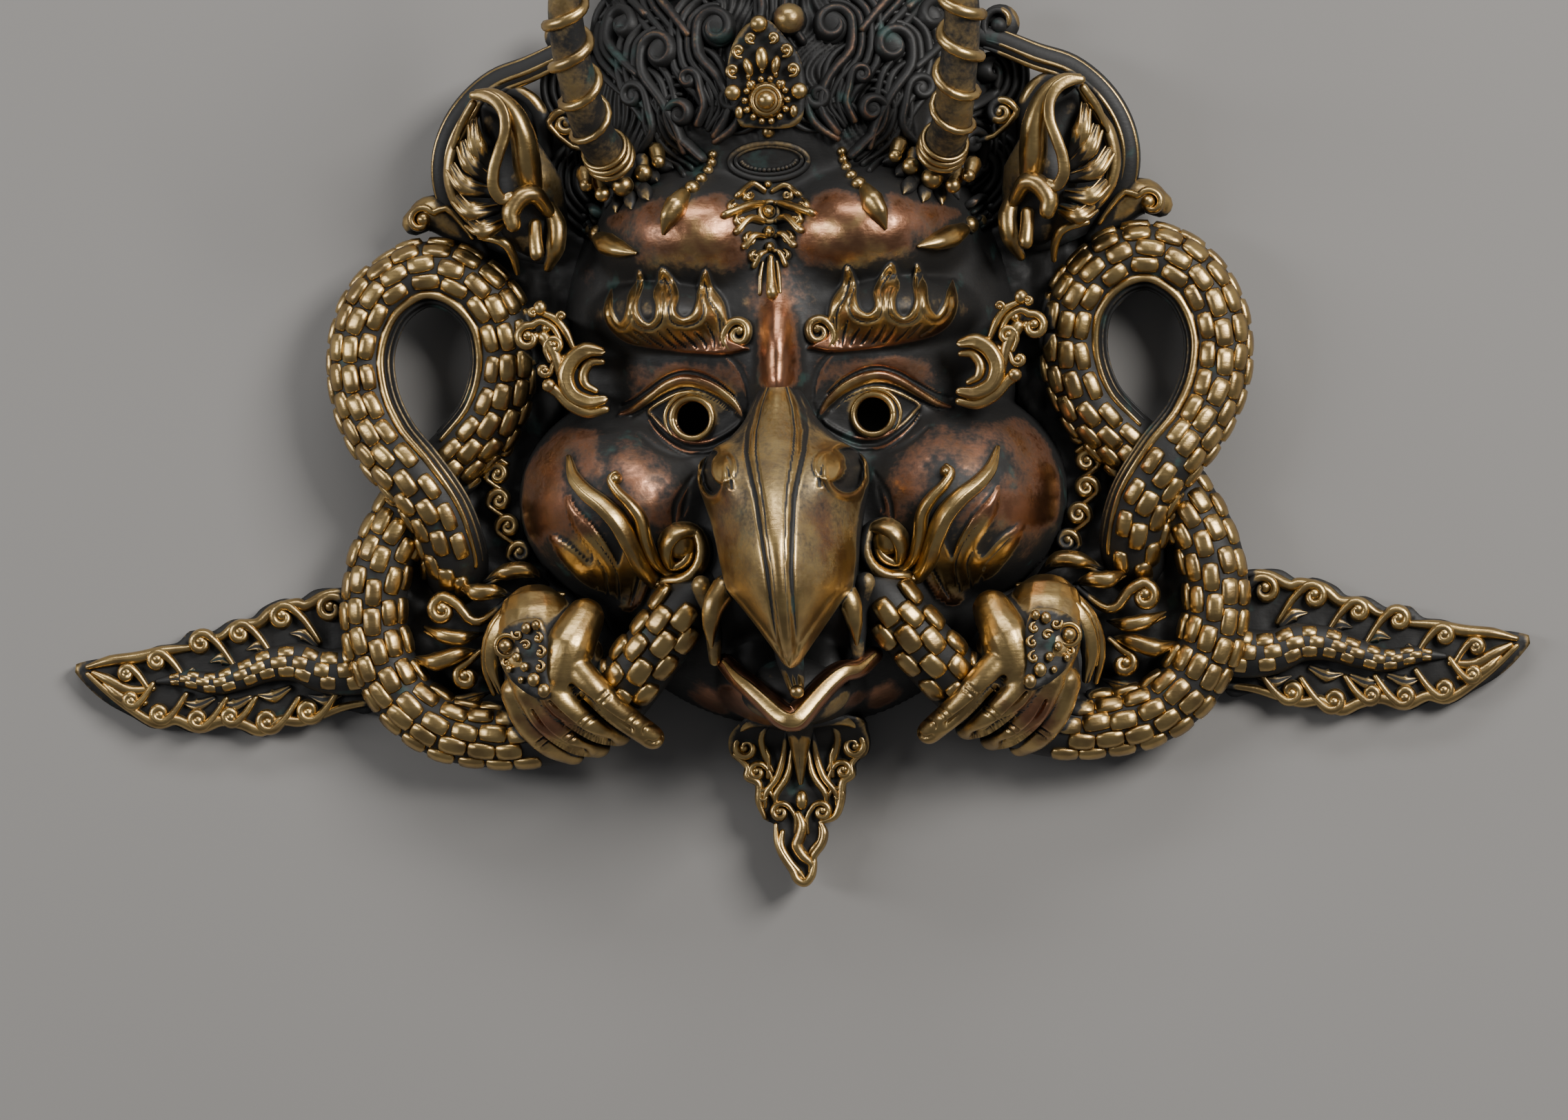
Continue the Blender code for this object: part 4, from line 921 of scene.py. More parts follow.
@dataclass
class Beak:
    """Hooked upper beak with its ridge band, nostril lobes and lip."""

    along: int = 210
    across: int = 92
    lean: float = 4.0
    stations: Route = ((10, 5, 67, 59), (3, 9, 73, 58), (-4, 12.5, 79, 57), (-10, 18, 85, 57),
                       (-14, 24, 89, 57), (-18, 28, 93, 57.5), (-24, 29, 98.5, 58.5),
                       (-30, 27.8, 103, 60), (-37, 26, 107, 62), (-45, 24.4, 110.5, 65),
                       (-53, 23.2, 112, 68), (-61, 21.4, 111.8, 71), (-66, 17.6, 110.5, 74),
                       (-72, 13, 107.8, 77), (-78, 8.6, 103.3, 80.5), (-83, 5, 97.5, 83),
                       (-86.5, 2.6, 92, 84.5), (-88, 0.7, 88, 85.5))
    band: Route = ((10, 3), (0, 7.2), (-8, 9), (-15, 8.8), (-20, 7.8), (-30, 5.6), (-40, 4.5), (-55, 3),
                   (-70, 2.5), (-83, 2), (-88, 0.4))

    def shift(self, y: Numbers) -> Numbers:
        """Sideways lean of the beak, which grows downwards."""
        share = np.clip(-y / 90.0, 0.0, 1.0)
        return self.lean * share * share * (3.0 - 2.0 * share)

    def surface(self, along: Numbers, across: Numbers) -> Numbers:
        """Places on the upper beak.

        Args:
            along: share of the way from the brow to the tip.
            across: from -1 at the left lip to 1 at the right one.

        Returns:
            One row (x, y, z) for each.
        """
        path = smooth(self.stations, 10)
        shares = np.linspace(0.0, 1.0, len(path))
        y, half, ridge, lip = (np.interp(along, shares, path[:, column]) for column in range(4))
        reach = np.abs(across)
        band_half = np.interp(-y, [-row[0] for row in self.band], [row[1] for row in self.band])
        dome = (1.0 - reach ** 1.75) ** 0.66
        z = lip + (ridge - lip) * dome
        away = reach * half
        side_x = np.sign(across) * away
        on_band = np.clip((band_half - away) / 0.9 + 0.5, 0.0, 1.0)
        z = z + 1.5 * on_band - 0.9 * np.exp(-((away - band_half - 1.1) / 0.7) ** 2)
        inner = band_half * 0.72
        z = z - 0.55 * np.exp(-((away - inner) / 0.42) ** 2) * (band_half > 2.2)
        lobe = np.exp(-((away - 20.5) / 8.5) ** 2 - ((y + 21.0) / 10.0) ** 2)
        z = z + 8.5 * lobe
        rim_x, rim_y = away - 23.0, y + 21.5
        leaf = np.hypot(rim_x / 5.4, rim_y / 8.2)
        bite = np.hypot((away - 17.6) / 4.6, (y + 20.0) / 5.6)
        pit = np.clip((1.0 - leaf) / 0.16, 0.0, 1.0) * np.clip((bite - 1.0) / 0.2, 0.0, 1.0)
        z = z - 13.0 * pit + 1.5 * np.exp(-((leaf - 1.16) / 0.13) ** 2)
        z = z + 1.0 * np.exp(-((bite - 0.86) / 0.14) ** 2) * (rim_x < 1.0)
        line = np.abs(away - (16.4 + 1.6 * np.sin((y + 20.0) / 4.0)))
        z = z - 0.9 * np.exp(-(line / 0.55) ** 2) * (np.abs(y + 21.0) < 6.5)
        lip_line = np.clip((-56.0 - y) / 5.0, 0.0, 1.0)
        z = z + lip_line * 1.5 * np.exp(-((half - away - 1.3) / 0.9) ** 2)
        z = z - lip_line * 1.1 * np.exp(-((half - away - 3.4) / 0.8) ** 2)
        brow_edge = np.clip((y - 4.0) / 6.0, 0.0, 1.0)
        return np.column_stack((self.shift(y) + side_x, y, z - 1.0 * brow_edge))

    def build(self) -> bpy.types.Object:
        """Model the upper beak as a worked sheet with a skirt."""
        clay = Clay()
        made, along, around = clay.sheet(self.across, self.along)
        clay.put(made, self.surface(around, np.clip(along * 2.0 - 1.0, -1.0, 1.0)))
        rise = bmesh.ops.extrude_face_region(clay.mesh, geom=clay.mesh.faces[:])
        for item in rise["geom"]:
            if isinstance(item, bmesh.types.BMVert):
                y = item.co.y
                over = min(1.0, max(0.0, (-58.0 - y) / 6.0))
                item.co.z = min(item.co.z, 60.0 + 22.0 * over) - 26.0 + 21.0 * over
        return clay.finish("upper_beak", RUBBED)


@dataclass
class Mouth:
    """Lower beak, tongue and the fangs beside the upper beak."""

    def build(self) -> bpy.types.Object:
        """Model the dark mouth and its bright rim."""
        clay = Clay()
        jaw = ((29, -85, 54), (23.5, -89.6, 60), (18, -90.8, 64), (13, -94.5, 67), (8, -99.5, 70),
               (3, -105.2, 73.5), (0, -107.3, 74.5), (-4, -106.2, 74), (-9.5, -101.2, 70), (-15, -96, 66),
               (-20, -91.5, 61), (-24, -86.5, 55))
        clay.rub = -0.2
        clay.rod(jaw, (0.6, 1.9, 2.4, 2.6, 2.4, 1.9, 0.6), (0.6, 1.3, 1.5, 1.6, 1.5, 1.3, 0.6), sides=16,
                 square=0.55)
        clay.rub = 0.3
        clay.warm = 0.6
        for share, drop in ((0.97, 5), (0.92, 10), (0.84, 16), (0.74, 22)):
            under = [(x * share * 1.02, -90 + (y + 90) * share, z - drop) for x, y, z in jaw]
            clay.rod(under, (3, 3.6, 4.2, 4.6, 4.2, 3.6, 3), sides=10)
        clay.rub = -0.45
        clay.warm = 0.0
        clay.bead((1, -97, 44), (19, 11.5, 17), detail=4)
        clay.rod(((-1.5, -72, 48), (-1, -84, 56), (0.5, -92, 66), (1.2, -96.5, 72)),
                 (6, 5, 3.6, 2.6), sides=20, grooves=(-0.35, 0.35), cut=0.9)
        clay.rub = 0.1
        clay.bead((1.4, -97.5, 74), (2.5, 2.4, 2.4), detail=3)
        clay.rub = -0.05
        for side in SIDES:
            clay.side = side
            clay.rod(((17, -61, 66), (20.5, -67, 68), (22, -74, 67),
                      (22.6, -81, 63)), (4.6, 4, 2.8, 0.8), sides=12)
            clay.rub = -0.5
            clay.rod(((26, -60, 60), (24, -68, 56), (23, -78, 54),
                      (23, -86, 53)), (3.6, 3.2, 3, 2), sides=10)
            clay.rub = -0.12
        return clay.finish("mouth_and_fangs", RUBBED)


@dataclass
class Cheeks(Pair):
    """Moustache scrolls and their beads."""

    name: str = "moustache_scrolls"

    def half(self, clay: Clay) -> None:
        """Work one side."""
        upper = [(38, -55), (43.5, -50), (45.8, -43), (46.8, -36), (50, -31),
                 (54, -27), (56.5, -23), (55, -20.8)]
        clay.drape(upper, (1.6, 2.4, 2.6, 2.4, 2, 1.8, 1.2), (3.6, 4.8, 5, 4.4, 3.8, 3.2, 2.2),
                   0.6, sides=14)
        lower = [(36, -58.6), (43, -57), (48, -51.5), (51, -43.5), (54.5, -36.5),
                 (59.5, -31.2), (65.5, -26.6), (70, -21.5), (72.6, -14.5)]
        clay.drape(lower, (2.2, 3.2, 3.6, 3.6, 3.4, 3, 2.4, 0.8),
                   (4.4, 5.6, 6, 6, 5.4, 4.6, 3.6, 1.4), 0.6, sides=20, grooves=(-0.5, 0.25), cut=1)
        clay.curl((34, -47.2), 11, 300, -1.6, 2.7, stem=((51, -45.5), (48.5, -52.5), (42, -57.8)),
                  rise=2.4, eye=2.2)
        clay.curl((34, -46.6), 12.6, 270, -0.5, 1.5, rise=2, eye=0.8)
        clay.bead((55, -22), (2.3, 2.3, 4.6), detail=3)


@dataclass
class Serpents:
    """Scaled serpents that come out of the mouth corners and coil beside the head."""

    radius: float = 11.2
    scale_length: float = 5.45
    scale_gap: float = 10.6
    rise: float = 2.5
    # Steps between two places of the route, and its places at the hand and at the lower bend
    spans: int = 10
    hand: int = 4
    bend: int = 11
    route: Route = ((27, -58, 44), (35, -68, 48), (50, -86, 44), (65, -101, 27), (85, -109.5, 18),
                    (105, -110.5, 15), (124.5, -106, 15), (139.5, -92, 15), (146, -72, 15),
                    (144, -52, 15), (136.5, -36, 13), (128, -24, 11), (115, -12, 12), (104, 1, 15),
                    (99, 18, 16), (101.5, 35, 17), (112.5, 47, 18), (127, 50, 18), (141, 41, 18),
                    (148, 25, 18), (147, 8, 19), (140.5, -7, 21), (130, -20, 24), (121.5, -33, 22),
                    (117.5, -46, 17), (118, -54, 8))

    def scales(self, clay: Clay, path: Numbers, rows: Sequence[tuple[float, float]],
               start: float, end: float, dice: np.random.Generator) -> None:
        """Rows of scales along part of a body.

        Args:
            clay: the piece being worked.
            path: middle line of the body.
            rows: angle from the top in degrees, and half width, of each row.
            start: length at which the scales start.
            end: length at which they end.
            dice: seeded source of small differences.
        """
        lengths = run_lengths(path)
        aheads = axes(path)[0]
        headings = np.unwrap(np.arctan2(aheads[:, 1], aheads[:, 0]))
        bends = np.gradient(headings) / np.gradient(lengths)
        for number, (angle, half) in enumerate(rows):
            at = start + (self.scale_gap * 0.5 if number % 2 else 0)
            while at < end:
                arm = self.radius * math.sin(math.radians(angle))
                stretch = 1 + arm * float(np.interp(at, lengths, bends))
                centre = np.array([np.interp(at, lengths, path[:, axis]) for axis in range(3)])
                ahead = unit(np.array([np.interp(at, lengths, aheads[:, axis]) for axis in range(3)]))
                side = unit(np.cross(ahead, UP))
                top = np.cross(side, ahead)
                turn = math.radians(angle + dice.uniform(-2, 2))
                out = side * math.sin(turn) + top * math.cos(turn)
                reach = (self.scale_length * dice.uniform(0.95, 1.05), half * dice.uniform(0.97, 1.06))
                twist = dice.uniform(-0.09, 0.09)
                heading = unit(ahead + np.cross(out, ahead) * twist)
                clay.pebble(centre + out * self.radius, heading, out, reach,
                            self.rise * dice.uniform(0.85, 1.15))
                at += self.scale_gap * dice.uniform(0.95, 1.05) / max(stretch, 0.5)

    def half(self, clay: Clay, dice: np.random.Generator) -> None:
        """Work one serpent."""
        path = smooth(self.route, self.spans)
        clay.rub = -0.95
        clay.band(path, (self.radius * 0.8,) + (self.radius,) * 12, sides=26)
        lengths = run_lengths(path)
        hand, bend = lengths[self.hand * self.spans], lengths[self.bend * self.spans]
        end = lengths[-1]
        clay.rub = -0.12
        self.scales(clay, path, ((-58, 3.7), (-24, 3.7), (10, 3.7), (44, 3.7)), 15, hand - 26, dice)
        clay.rub = 0.08
        self.scales(clay, path, ((-68, 3.3), (-36, 3.3), (-4, 3.3), (27.5, 3.3), (58, 3.2)),
                    hand + 8, bend + 6, dice)
        self.scales(clay, path, ((-76, 3.2), (-45, 3.4), (-14, 3.3), (16, 3)), bend + 12, end - 4, dice)
        _, sides, tops = axes(path)
        inner = (lengths > bend + 16) & (lengths < end - 10)
        for angle, half, tall in ((41, 1.5, 2.4), (60, 0.7, 1.1), (80, 0.7, 1)):
            clay.rub = 0.15 if angle < 50.0 else -0.75
            turn = math.radians(angle)
            outs = sides * math.sin(turn) + tops * math.cos(turn)
            ridge = path + outs * (self.radius - 0.2)
            clay.band(ridge[inner], (half * 0.5, half, half, half, half * 0.5),
                      (tall * 0.5, tall, tall, tall, tall * 0.5), ups=outs[inner], sides=10)

    def build(self) -> list[bpy.types.Object]:
        """Model both serpents, each as one piece."""
        made = []
        for side, name, seed in ((1, "right_serpent", 11), (-1, "left_serpent", 12)):
            clay = Clay()
            clay.side = side
            self.half(clay, np.random.default_rng(seed))
            made.append(clay.finish(name, RUBBED))
        return made


@dataclass
class Tails(Pair):
    """Leaf-shaped tail fins with the thin end of each serpent along them."""

    name: str = "tail_fins"
    dice: np.random.Generator = field(default_factory=lambda: np.random.default_rng(21))
    thick: float = 7.0
    flames: Sequence[Route] = (
        ((170, -78), (179, -73.6)), ((186, -80), (194.5, -79)),
        ((199, -84), (207.5, -83)), ((214, -86), (220.5, -88.5)),
        ((162, -95.5), (173, -95.5)), ((180, -92.8), (191, -95)),
        ((194, -96), (205, -97.5)), ((207, -96), (218, -97)))

    def half(self, clay: Clay) -> None:
        """Work one fin."""
        outline = ((140, -70), (152, -62), (160, -58.5), (168, -58.5), (174, -62), (180, -61.5),
                   (187, -64.5), (191, -68), (198, -68.5), (205, -72.5), (212, -71.8), (217, -76),
                   (224, -77), (231, -79.5), (240, -80.8), (248, -81.6), (254, -84), (249, -91),
                   (242, -97), (234, -101.5), (226, -106), (220, -104.6), (212, -107.8), (204, -105),
                   (196, -106.8), (190, -109.2), (183, -105.6), (176, -106.2), (168, -103.6), (158, -101),
                   (148, -100))

        def top(x: Numbers, y: Numbers) -> Numbers:
            """Height of the fin's ground."""
            return self.thick + 0.5 * rough(x, y, 4, 7) - 0.9

        clay.rub = -0.34
        clay.quilt(outline, top, 0, 1.5)
        clay.rub = -0.95
        level = self.thick
        body = ((146, -84, 10), (157, -87, 10.5), (167, -87, 10.5), (176, -84, 10), (186, -84.5, 9.5),
                (196, -88, 9), (206, -90.5, 8.5), (216, -89, 8), (226, -89.5, 7.5))
        body_halves = (9.6, 8.6, 7.4, 6.4, 5.4, 4.4, 3.4, 1)
        body_heights = (7, 6.6, 6, 5.4, 4.6, 4, 3, 1)
        clay.rod(body, body_halves, body_heights, sides=18)
        clay.rub = 0.1
        path = SIGHT.true(smooth(body, 8))
        lengths = run_lengths(path)
        half_width, tall = spread(body_halves, len(path)), spread(body_heights, len(path))
        for number, share in enumerate((-0.62, -0.05, 0.52)):
            at = 10 + 3 * (number % 2)
            while at < lengths[-1] - 5:
                index = int(np.argmin(np.abs(lengths - at)))
                ahead = unit(path[min(index + 1, len(path) - 1)] - path[index - 1])
                side = unit(np.cross(ahead, UP))
                out = unit(side * share * tall[index] / half_width[index] + np.array((0, 0, 0.8)))
                rise = math.sqrt(1 - share * share)
                centre = path[index] + side * share * half_width[index] + (0, 0, tall[index] * rise)
                size = 0.30 * half_width[index] + 0.6
                length = 2 + 0.22 * half_width[index]
                clay.pebble(centre, ahead, out, (length * self.dice.uniform(0.9, 1.1), size),
                            1.2 + 0.05 * half_width[index], 4)
                at += 2 * length + 0.7
        scrolls = ((164.5, -65.5, 4.8), (181.5, -68, 4.4), (196.5, -73.4, 3.6), (210.5, -76.6, 3.8),
                   (226, -82.4, 3.2), (237, -86.6, 2.4), (173, -100.6, 3.8), (187.5, -103.8, 3.8),
                   (200.5, -102, 3), (212, -102.8, 3.4), (225.5, -100.6, 3.2), (235.5, -95.6, 2.6))
        for x, y, radius in scrolls:
            below = -1 if y < -93 else 1
            stem = [(x - radius * back, y - below * radius * drop)
                    for back, drop in ((2.9, 2), (2.2, 0.9), (1.6, 0.1))]
            clay.curl((x, y), radius * 1.1, 180 - below * 30, -below * 1.2, 1.8, level + 0.5, stem,
                      rise=1.6)
        edges = (((150, -63.5), (158, -60), (166, -60.5), (173, -64), (177, -63.5), (185, -65.5),
                  (190.5, -70), (198, -70.5), (204, -74.5), (212, -74)),
                 ((214, -78), (224, -79), (233, -81), (243, -82), (251, -84)),
                 ((150, -98), (160, -99.5), (168, -102), (176, -104.5), (183, -104), (190, -107.5),
                  (196.5, -105), (204, -103.6), (212, -106), (220, -103), (227, -104.2), (236, -99),
                  (244, -93), (251, -86.5)), ((228, -92), (236, -92.5), (243, -89), (249, -86)),
                 ((231, -97), (239, -95), (245, -90)))
        for points in edges:
            clay.rod(points, (1.2, 2, 2.2, 2, 1), (1.6, 2.6, 2.8, 2.6, 1.4), level - 0.3,
                     sides=12, grooves=(0.3,), cut=0.7)
        clay.rub = -0.12
        for foot, tip in self.flames:
            bow = 1.6 if tip[1] > -88 else -1.6
            middle = ((foot[0] + tip[0]) / 2, (foot[1] + tip[1]) / 2 + bow)
            clay.rod((foot, middle, tip), (1.2, 2.6, 0.4), (1.8, 2.6, 1), level - 0.6, sides=16,
                     grooves=(0,), cut=0.8)


@dataclass
class Hands:
    """Hands that grip the serpents."""

    voxel: float = 0.7
    fingers: Sequence[Route] = (
        ((76, -84, 48), (66.5, -94, 51), (58.5, -102.5, 48.5), (47.5, -111.5, 42)),
        ((83, -92, 48), (75.5, -101, 48), (66.5, -108, 41), (60, -110.5, 31)),
        ((89, -94, 45), (83.5, -104.5, 43), (75, -112, 35), (68, -114.5, 24)),
        ((94, -95, 40), (91, -105, 36), (84.5, -113, 28), (77.5, -117, 18)))
    parts: Sequence[Route] = (
        ((74, -94), (68, -99.5), (61.5, -105), (54, -110)),
        ((82, -99.5), (77, -105.5), (70.5, -111.5), (62.5, -114.6)),
        ((88.6, -102.5), (84, -110.5), (77.5, -116), (71.5, -118)))
    creases: Sequence[Route] = (
        ((61.5, -96), (67, -100.5)), ((60.2, -97.6), (65.6, -102)),
        ((51.5, -103.5), (56.5, -108)), ((50.4, -105), (55.2, -109.6)),
        ((67, -103), (72.5, -107.5)), ((66, -104.6), (71.2, -109)),
        ((75, -110), (80, -114)), ((73.8, -111.6), (78.6, -115.6)),
        ((84, -111), (89, -114.6)), ((82.8, -112.6), (87.4, -116.2)))

    def flesh(self, side: float, name: str) -> bpy.types.Object:
        """One hand as a single smooth skin with engraved joints."""
        clay = Clay()
        clay.side = side
        for route in self.fingers:
            clay.band(smooth(route, 6), (6, 5.2, 4.9, 4.3), sides=16)
        clay.band(smooth(((70, -70, 42), (75, -80, 47), (78, -90, 47)), 5), (7, 9, 8), sides=16)
        clay.band(smooth(((88, -70, 36), (87, -82, 43), (85, -94, 43)), 5),
                  (13, 13, 9.5), (9, 9.5, 8), sides=16)
        for x, y, z, reach in ((76, -84, 38, 12), (86, -90, 34, 13), (82, -76, 32, 13)):
            clay.bead((x, y, z), reach, detail=4, true=True)
        piece = clay.finish(name, RUBBED)
        remesh = piece.modifiers.new("one skin", "REMESH")
        remesh.mode = "VOXEL"
        remesh.voxel_size = self.voxel * MM
        ease = piece.modifiers.new("smooth skin", "SMOOTH")
        ease.iterations = 4
        graph = bpy.context.evaluated_depsgraph_get()
        data = bpy.data.meshes.new_from_object(piece.evaluated_get(graph))
        piece.modifiers.clear()
        old = piece.data
        piece.data = data
        bpy.data.meshes.remove(old)
        for face in data.polygons:
            face.use_smooth = True
        self.engrave(data, side)
        return piece

    def engrave(self, data: bpy.types.Mesh, side: float) -> None:
        """Cut the joints' double lines and the nail's edge."""
        rows = rows_of(data.vertices, "co") / MM
        out = rows_of(data.vertex_normals, "vector")
        x, y = rows[:, 0] * side, rows[:, 1] + MIDDLE_Y
        depth = np.zeros(len(rows))
        nail = spiral((46.2, -111), 3.4, 0, 0.85, 1)
        lines = [Line(Carving.GROOVE, SIGHT.flat(crease, 44), np.full(len(crease), 0.5), 0.9)
                 for crease in (*self.creases, nail)]
        for part in self.parts:
            cut = SIGHT.flat(smooth(part, 5), 42)
            lines.append(Line(Carving.GROOVE, cut, spread((0.6, 1.1, 1.3, 1.3), len(cut)), 2.8))
        for line in lines:
            away, half = line.distance(x, y)
            depth = np.maximum(depth, line.depth * np.exp(-(away / half) ** 2))
        rows -= out * (depth * (out[:, 2] > 0.1))[:, None]
        data.vertices.foreach_set("co", (rows * MM).ravel())
        data.update()

    def build(self) -> list[bpy.types.Object]:
        """Model both hands, each as one piece."""
        return [self.flesh(1, "right_hand"), self.flesh(-1, "left_hand")]


@dataclass
class Cuffs(Pair):
    """Cuff of each hand and the jewel on its back."""

    name: str = "cuffs_and_jewels"

    def level(self, x: float | Numbers) -> float | Numbers:
        """Height of the jewel's face."""
        return 54.2 - 0.30 * (x - 86) - 0.02 * (x - 86) ** 2

    def half(self, clay: Clay) -> None:
        """Work one hand's trim."""
        level = self.level
        cuffs = (
            (((79, -62, 31), (86, -62, 32), (94, -64, 32), (101, -69, 31),
              (106, -77, 29), (107.5, -87, 26), (105.5, -96, 22)),
             (0.9, 1.7, 2, 1.8, 1), ()),
            (((83, -65, 38), (91, -66.5, 38.5), (98, -71, 38), (102.5, -79, 36),
              (103.5, -87, 33), (102, -95, 28)), (1.6, 3.2, 3.6, 3.2, 1.6), (-0.5, 0.4)),
            (((88, -62, 34), (96, -65, 34), (103.5, -72.5, 33), (106, -82, 30),
              (105.5, -90, 27)), (0.9, 1.4, 1.4, 0.8), ()))
        for route, halves, grooves in cuffs:
            clay.rod(route, halves, sides=18, grooves=grooves, cut=0.7)
        jewel = ((84, -70), (92, -70.5), (98, -74.5), (99.5, -82), (97, -89), (91, -95), (84, -98.6),
                 (80.6, -97), (82, -88), (81.5, -78))
        clay.rub = -0.5
        clay.quilt(SIGHT.flat(jewel, 50), lambda x, y: level(x) - 0.2 + 0.4 * rough(x, y, 3, 3),
                   34, 1.2)
        clay.rub = 0.08
        clay.bead((96.5, -79.5, level(96.5) + 1.6), 2.4, detail=3)
        clay.ring((96.5, -79.5), (3.7, 3.7), 0.9, level(96.5) + 0.8)
        for x, y, reach in ((88.5, -73.5, 1.9), (92.5, -83.5, 1.6), (89.5, -87, 1.6), (86.2, -91.5, 2.3),
                            (82.6, -95.4, 2.3), (85, -72.5, 1.6), (95.5, -87.5, 1.3), (91, -91.5, 1.2)):
            clay.bead((x, y, level(x) + 0.8), (reach, reach * 1.15, 1.7))
        for x, y, reach, start, turns in ((83.8, -82, 2.3, 90, 0.9), (84.2, -87.2, 2.3, 90, 0.9),
                                          (84.6, -77, 2, 90, 0.9), (92, -75.5, 2.2, 20, -0.9),
                                          (96.5, -85.5, 1.8, 60, -0.9), (89, -79.5, 2, 30, 0.9)):
            clay.curl((x, y), reach, start, turns, 0.75, level(x) + 0.2, rise=1.6)


@dataclass
class SidePlates(Pair):
    """Ground between head and coils, with leaves and small curls on it."""

    name: str = "side_plates_and_leaves"

    def half(self, clay: Clay) -> None:
        """Work one side."""
        outline = ((66, 86), (96, 68), (118, 64), (124, 46), (108, 38), (103, 15), (111, -5), (134, -22),
                   (142, -50), (150, -84), (132, -106), (100, -110), (66, -102), (50, -92), (66, -72),
                   (80, -60), (91, -44), (92, -20), (80, 2), (76, 22), (69, 60))

        def top(x: Numbers, y: Numbers) -> Numbers:
            """Uneven dark ground."""
            return FORM.plate + 1.6 * rough(x, y, 6, 9) + 0.7 * rough(x, y, 2.4, 10)

        clay.rub = -0.3
        clay.quilt(outline, top, 0, 1.5)
        leaves = (
            (((86.5, -58.5, 17), (93, -53.6, 22), (100.5, -53.8, 22), (109, -57, 17)),
             (0.6, 3, 3, 0.5), -0.12),
            (((98.5, -62, 19), (104.5, -60.6, 25), (110.5, -60.6, 25), (116.5, -58, 20)),
             (0.5, 2.6, 3.2, 0.5), 0.08),
            (((110, -75, 17), (116.5, -76.4, 22), (123, -75.4, 22), (130, -72.4, 17)),
             (0.5, 2.8, 2.8, 0.5), -0.02),
            (((111, -80.8, 17), (118, -82.2, 22), (126, -84.6, 22), (133.5, -83, 17)),
             (0.5, 2.8, 3.4, 0.5), 0.02),
            (((108, -95.5, 14), (113.5, -97, 17), (119, -98, 17), (125, -96.5, 14)),
             (0.5, 1.6, 1.8, 0.5), -0.1))
        for route, halves, rub in leaves:
            clay.rub = rub
            clay.rod(route, halves, [half * 1.3 for half in halves], sides=20, grooves=(0.1,),
                     cut=0.8, spans=6, square=1.15)
            edge = [(x, y - 1.6, z + 1.2) for x, y, z in route[1:]]
            clay.rod([route[0]] + edge, (0.4, 0.8, 0.9, 0.4), sides=8)
        clay.rub = 0.05
        clay.curl((122.8, -66.8), 4.8, 95, -1.05, 2.1, 22,
                  stem=((100, -63.5), (105.3, -68.2), (110, -70.9), (114, -69.5), (117.3, -65)),
                  rise=1.6)
        clay.curl((115.2, -90), 4, 50, -1.05, 1.9, 20, stem=((110.5, -81.5), (114, -84.6)), rise=1.6)
        clay.rub = -0.02
        for index, x in enumerate((94.5, 98.5, 102, 103.8, 103.4, 100.5, 96.5)):
            y = 8 - index * 9.2
            clay.curl((x, y), 4.2, -30, 1.3, 1.6, FORM.plate + 4.5, ((x - 1.5, y - 5.6),), 1.9)


@dataclass
class TempleOrnaments(Pair):
    """Openwork scrolls in front of the ears."""

    name: str = "temple_ornaments"
    level: float = 50.0

    def half(self, clay: Clay) -> None:
        """Work one side; the ornament stands on posts off the temple."""
        level = self.level
        outer = ((61, 22.5), (66, 23), (71, 20), (73.6, 14), (71.5, 8), (66, 5), (60.5, 5.6))
        clay.rod(outer, (1.6, 2.8, 3, 3, 2.8, 2.6, 1.6), level=level, sides=18, grooves=(0.15,), cut=0.9)
        for points, halves, drop, sides in (
                (((61, 18.8), (65, 18.6), (67.6, 15), (67, 11), (63.5, 8.8)),
                 (1.2, 1.9, 1.9, 1.2), 1.5, 10),
                (((60, 2.2), (66, 1.2), (72, 4), (76.5, 8.5), (79.5, 11)),
                 (1.4, 2, 2.2, 2, 2.4), 1, 10),
                (((75.5, 14.5), (76.5, 19), (78, 23.5), (81, 28)), (1.4, 2.1, 2.4, 2.2), 0.5, 10),
                (((71, 24), (73.5, 29.5), (77, 34), (81, 36)), (1, 1.6, 1.6, 1.2), 1.5, 8)):
            clay.rod(points, halves, level=level - drop, sides=sides)
        clay.bead((79.5, 11, level), (2.5, 2.5, 2.2))
        clay.curl((86.3, 27.6), 4.8, 110, -1.1, 1.5, level, stem=((75, 26), (77.5, 31), (82, 33.4)))
        clay.curl((77.2, 24.6), 3.2, 20, 1.1, 1.2, level + 0.5, stem=((79, 19.5), (80.5, 23)))
        clay.curl((81, 16.5), 2.4, 200, 1, 1.1, level, stem=((76.5, 16), (77.5, 19.5)))
        clay.curl((74.6, 35), 1.9, 300, 1, 0.8, level - 0.5)
        clay.bead((82.2, 38, level - 1), (2.4, 2.8, 2.2))
        clay.curl((84.6, 36.4), 1.7, 120, -1, 0.8, level - 0.5)
        for x, y in ((70, 6.5), (74, 20), (80, 31), (64, 4), (84, 28)):
            clay.rod(((x, y, 8), (x, y, level - 1)), (4.2, 1.9), spans=4)


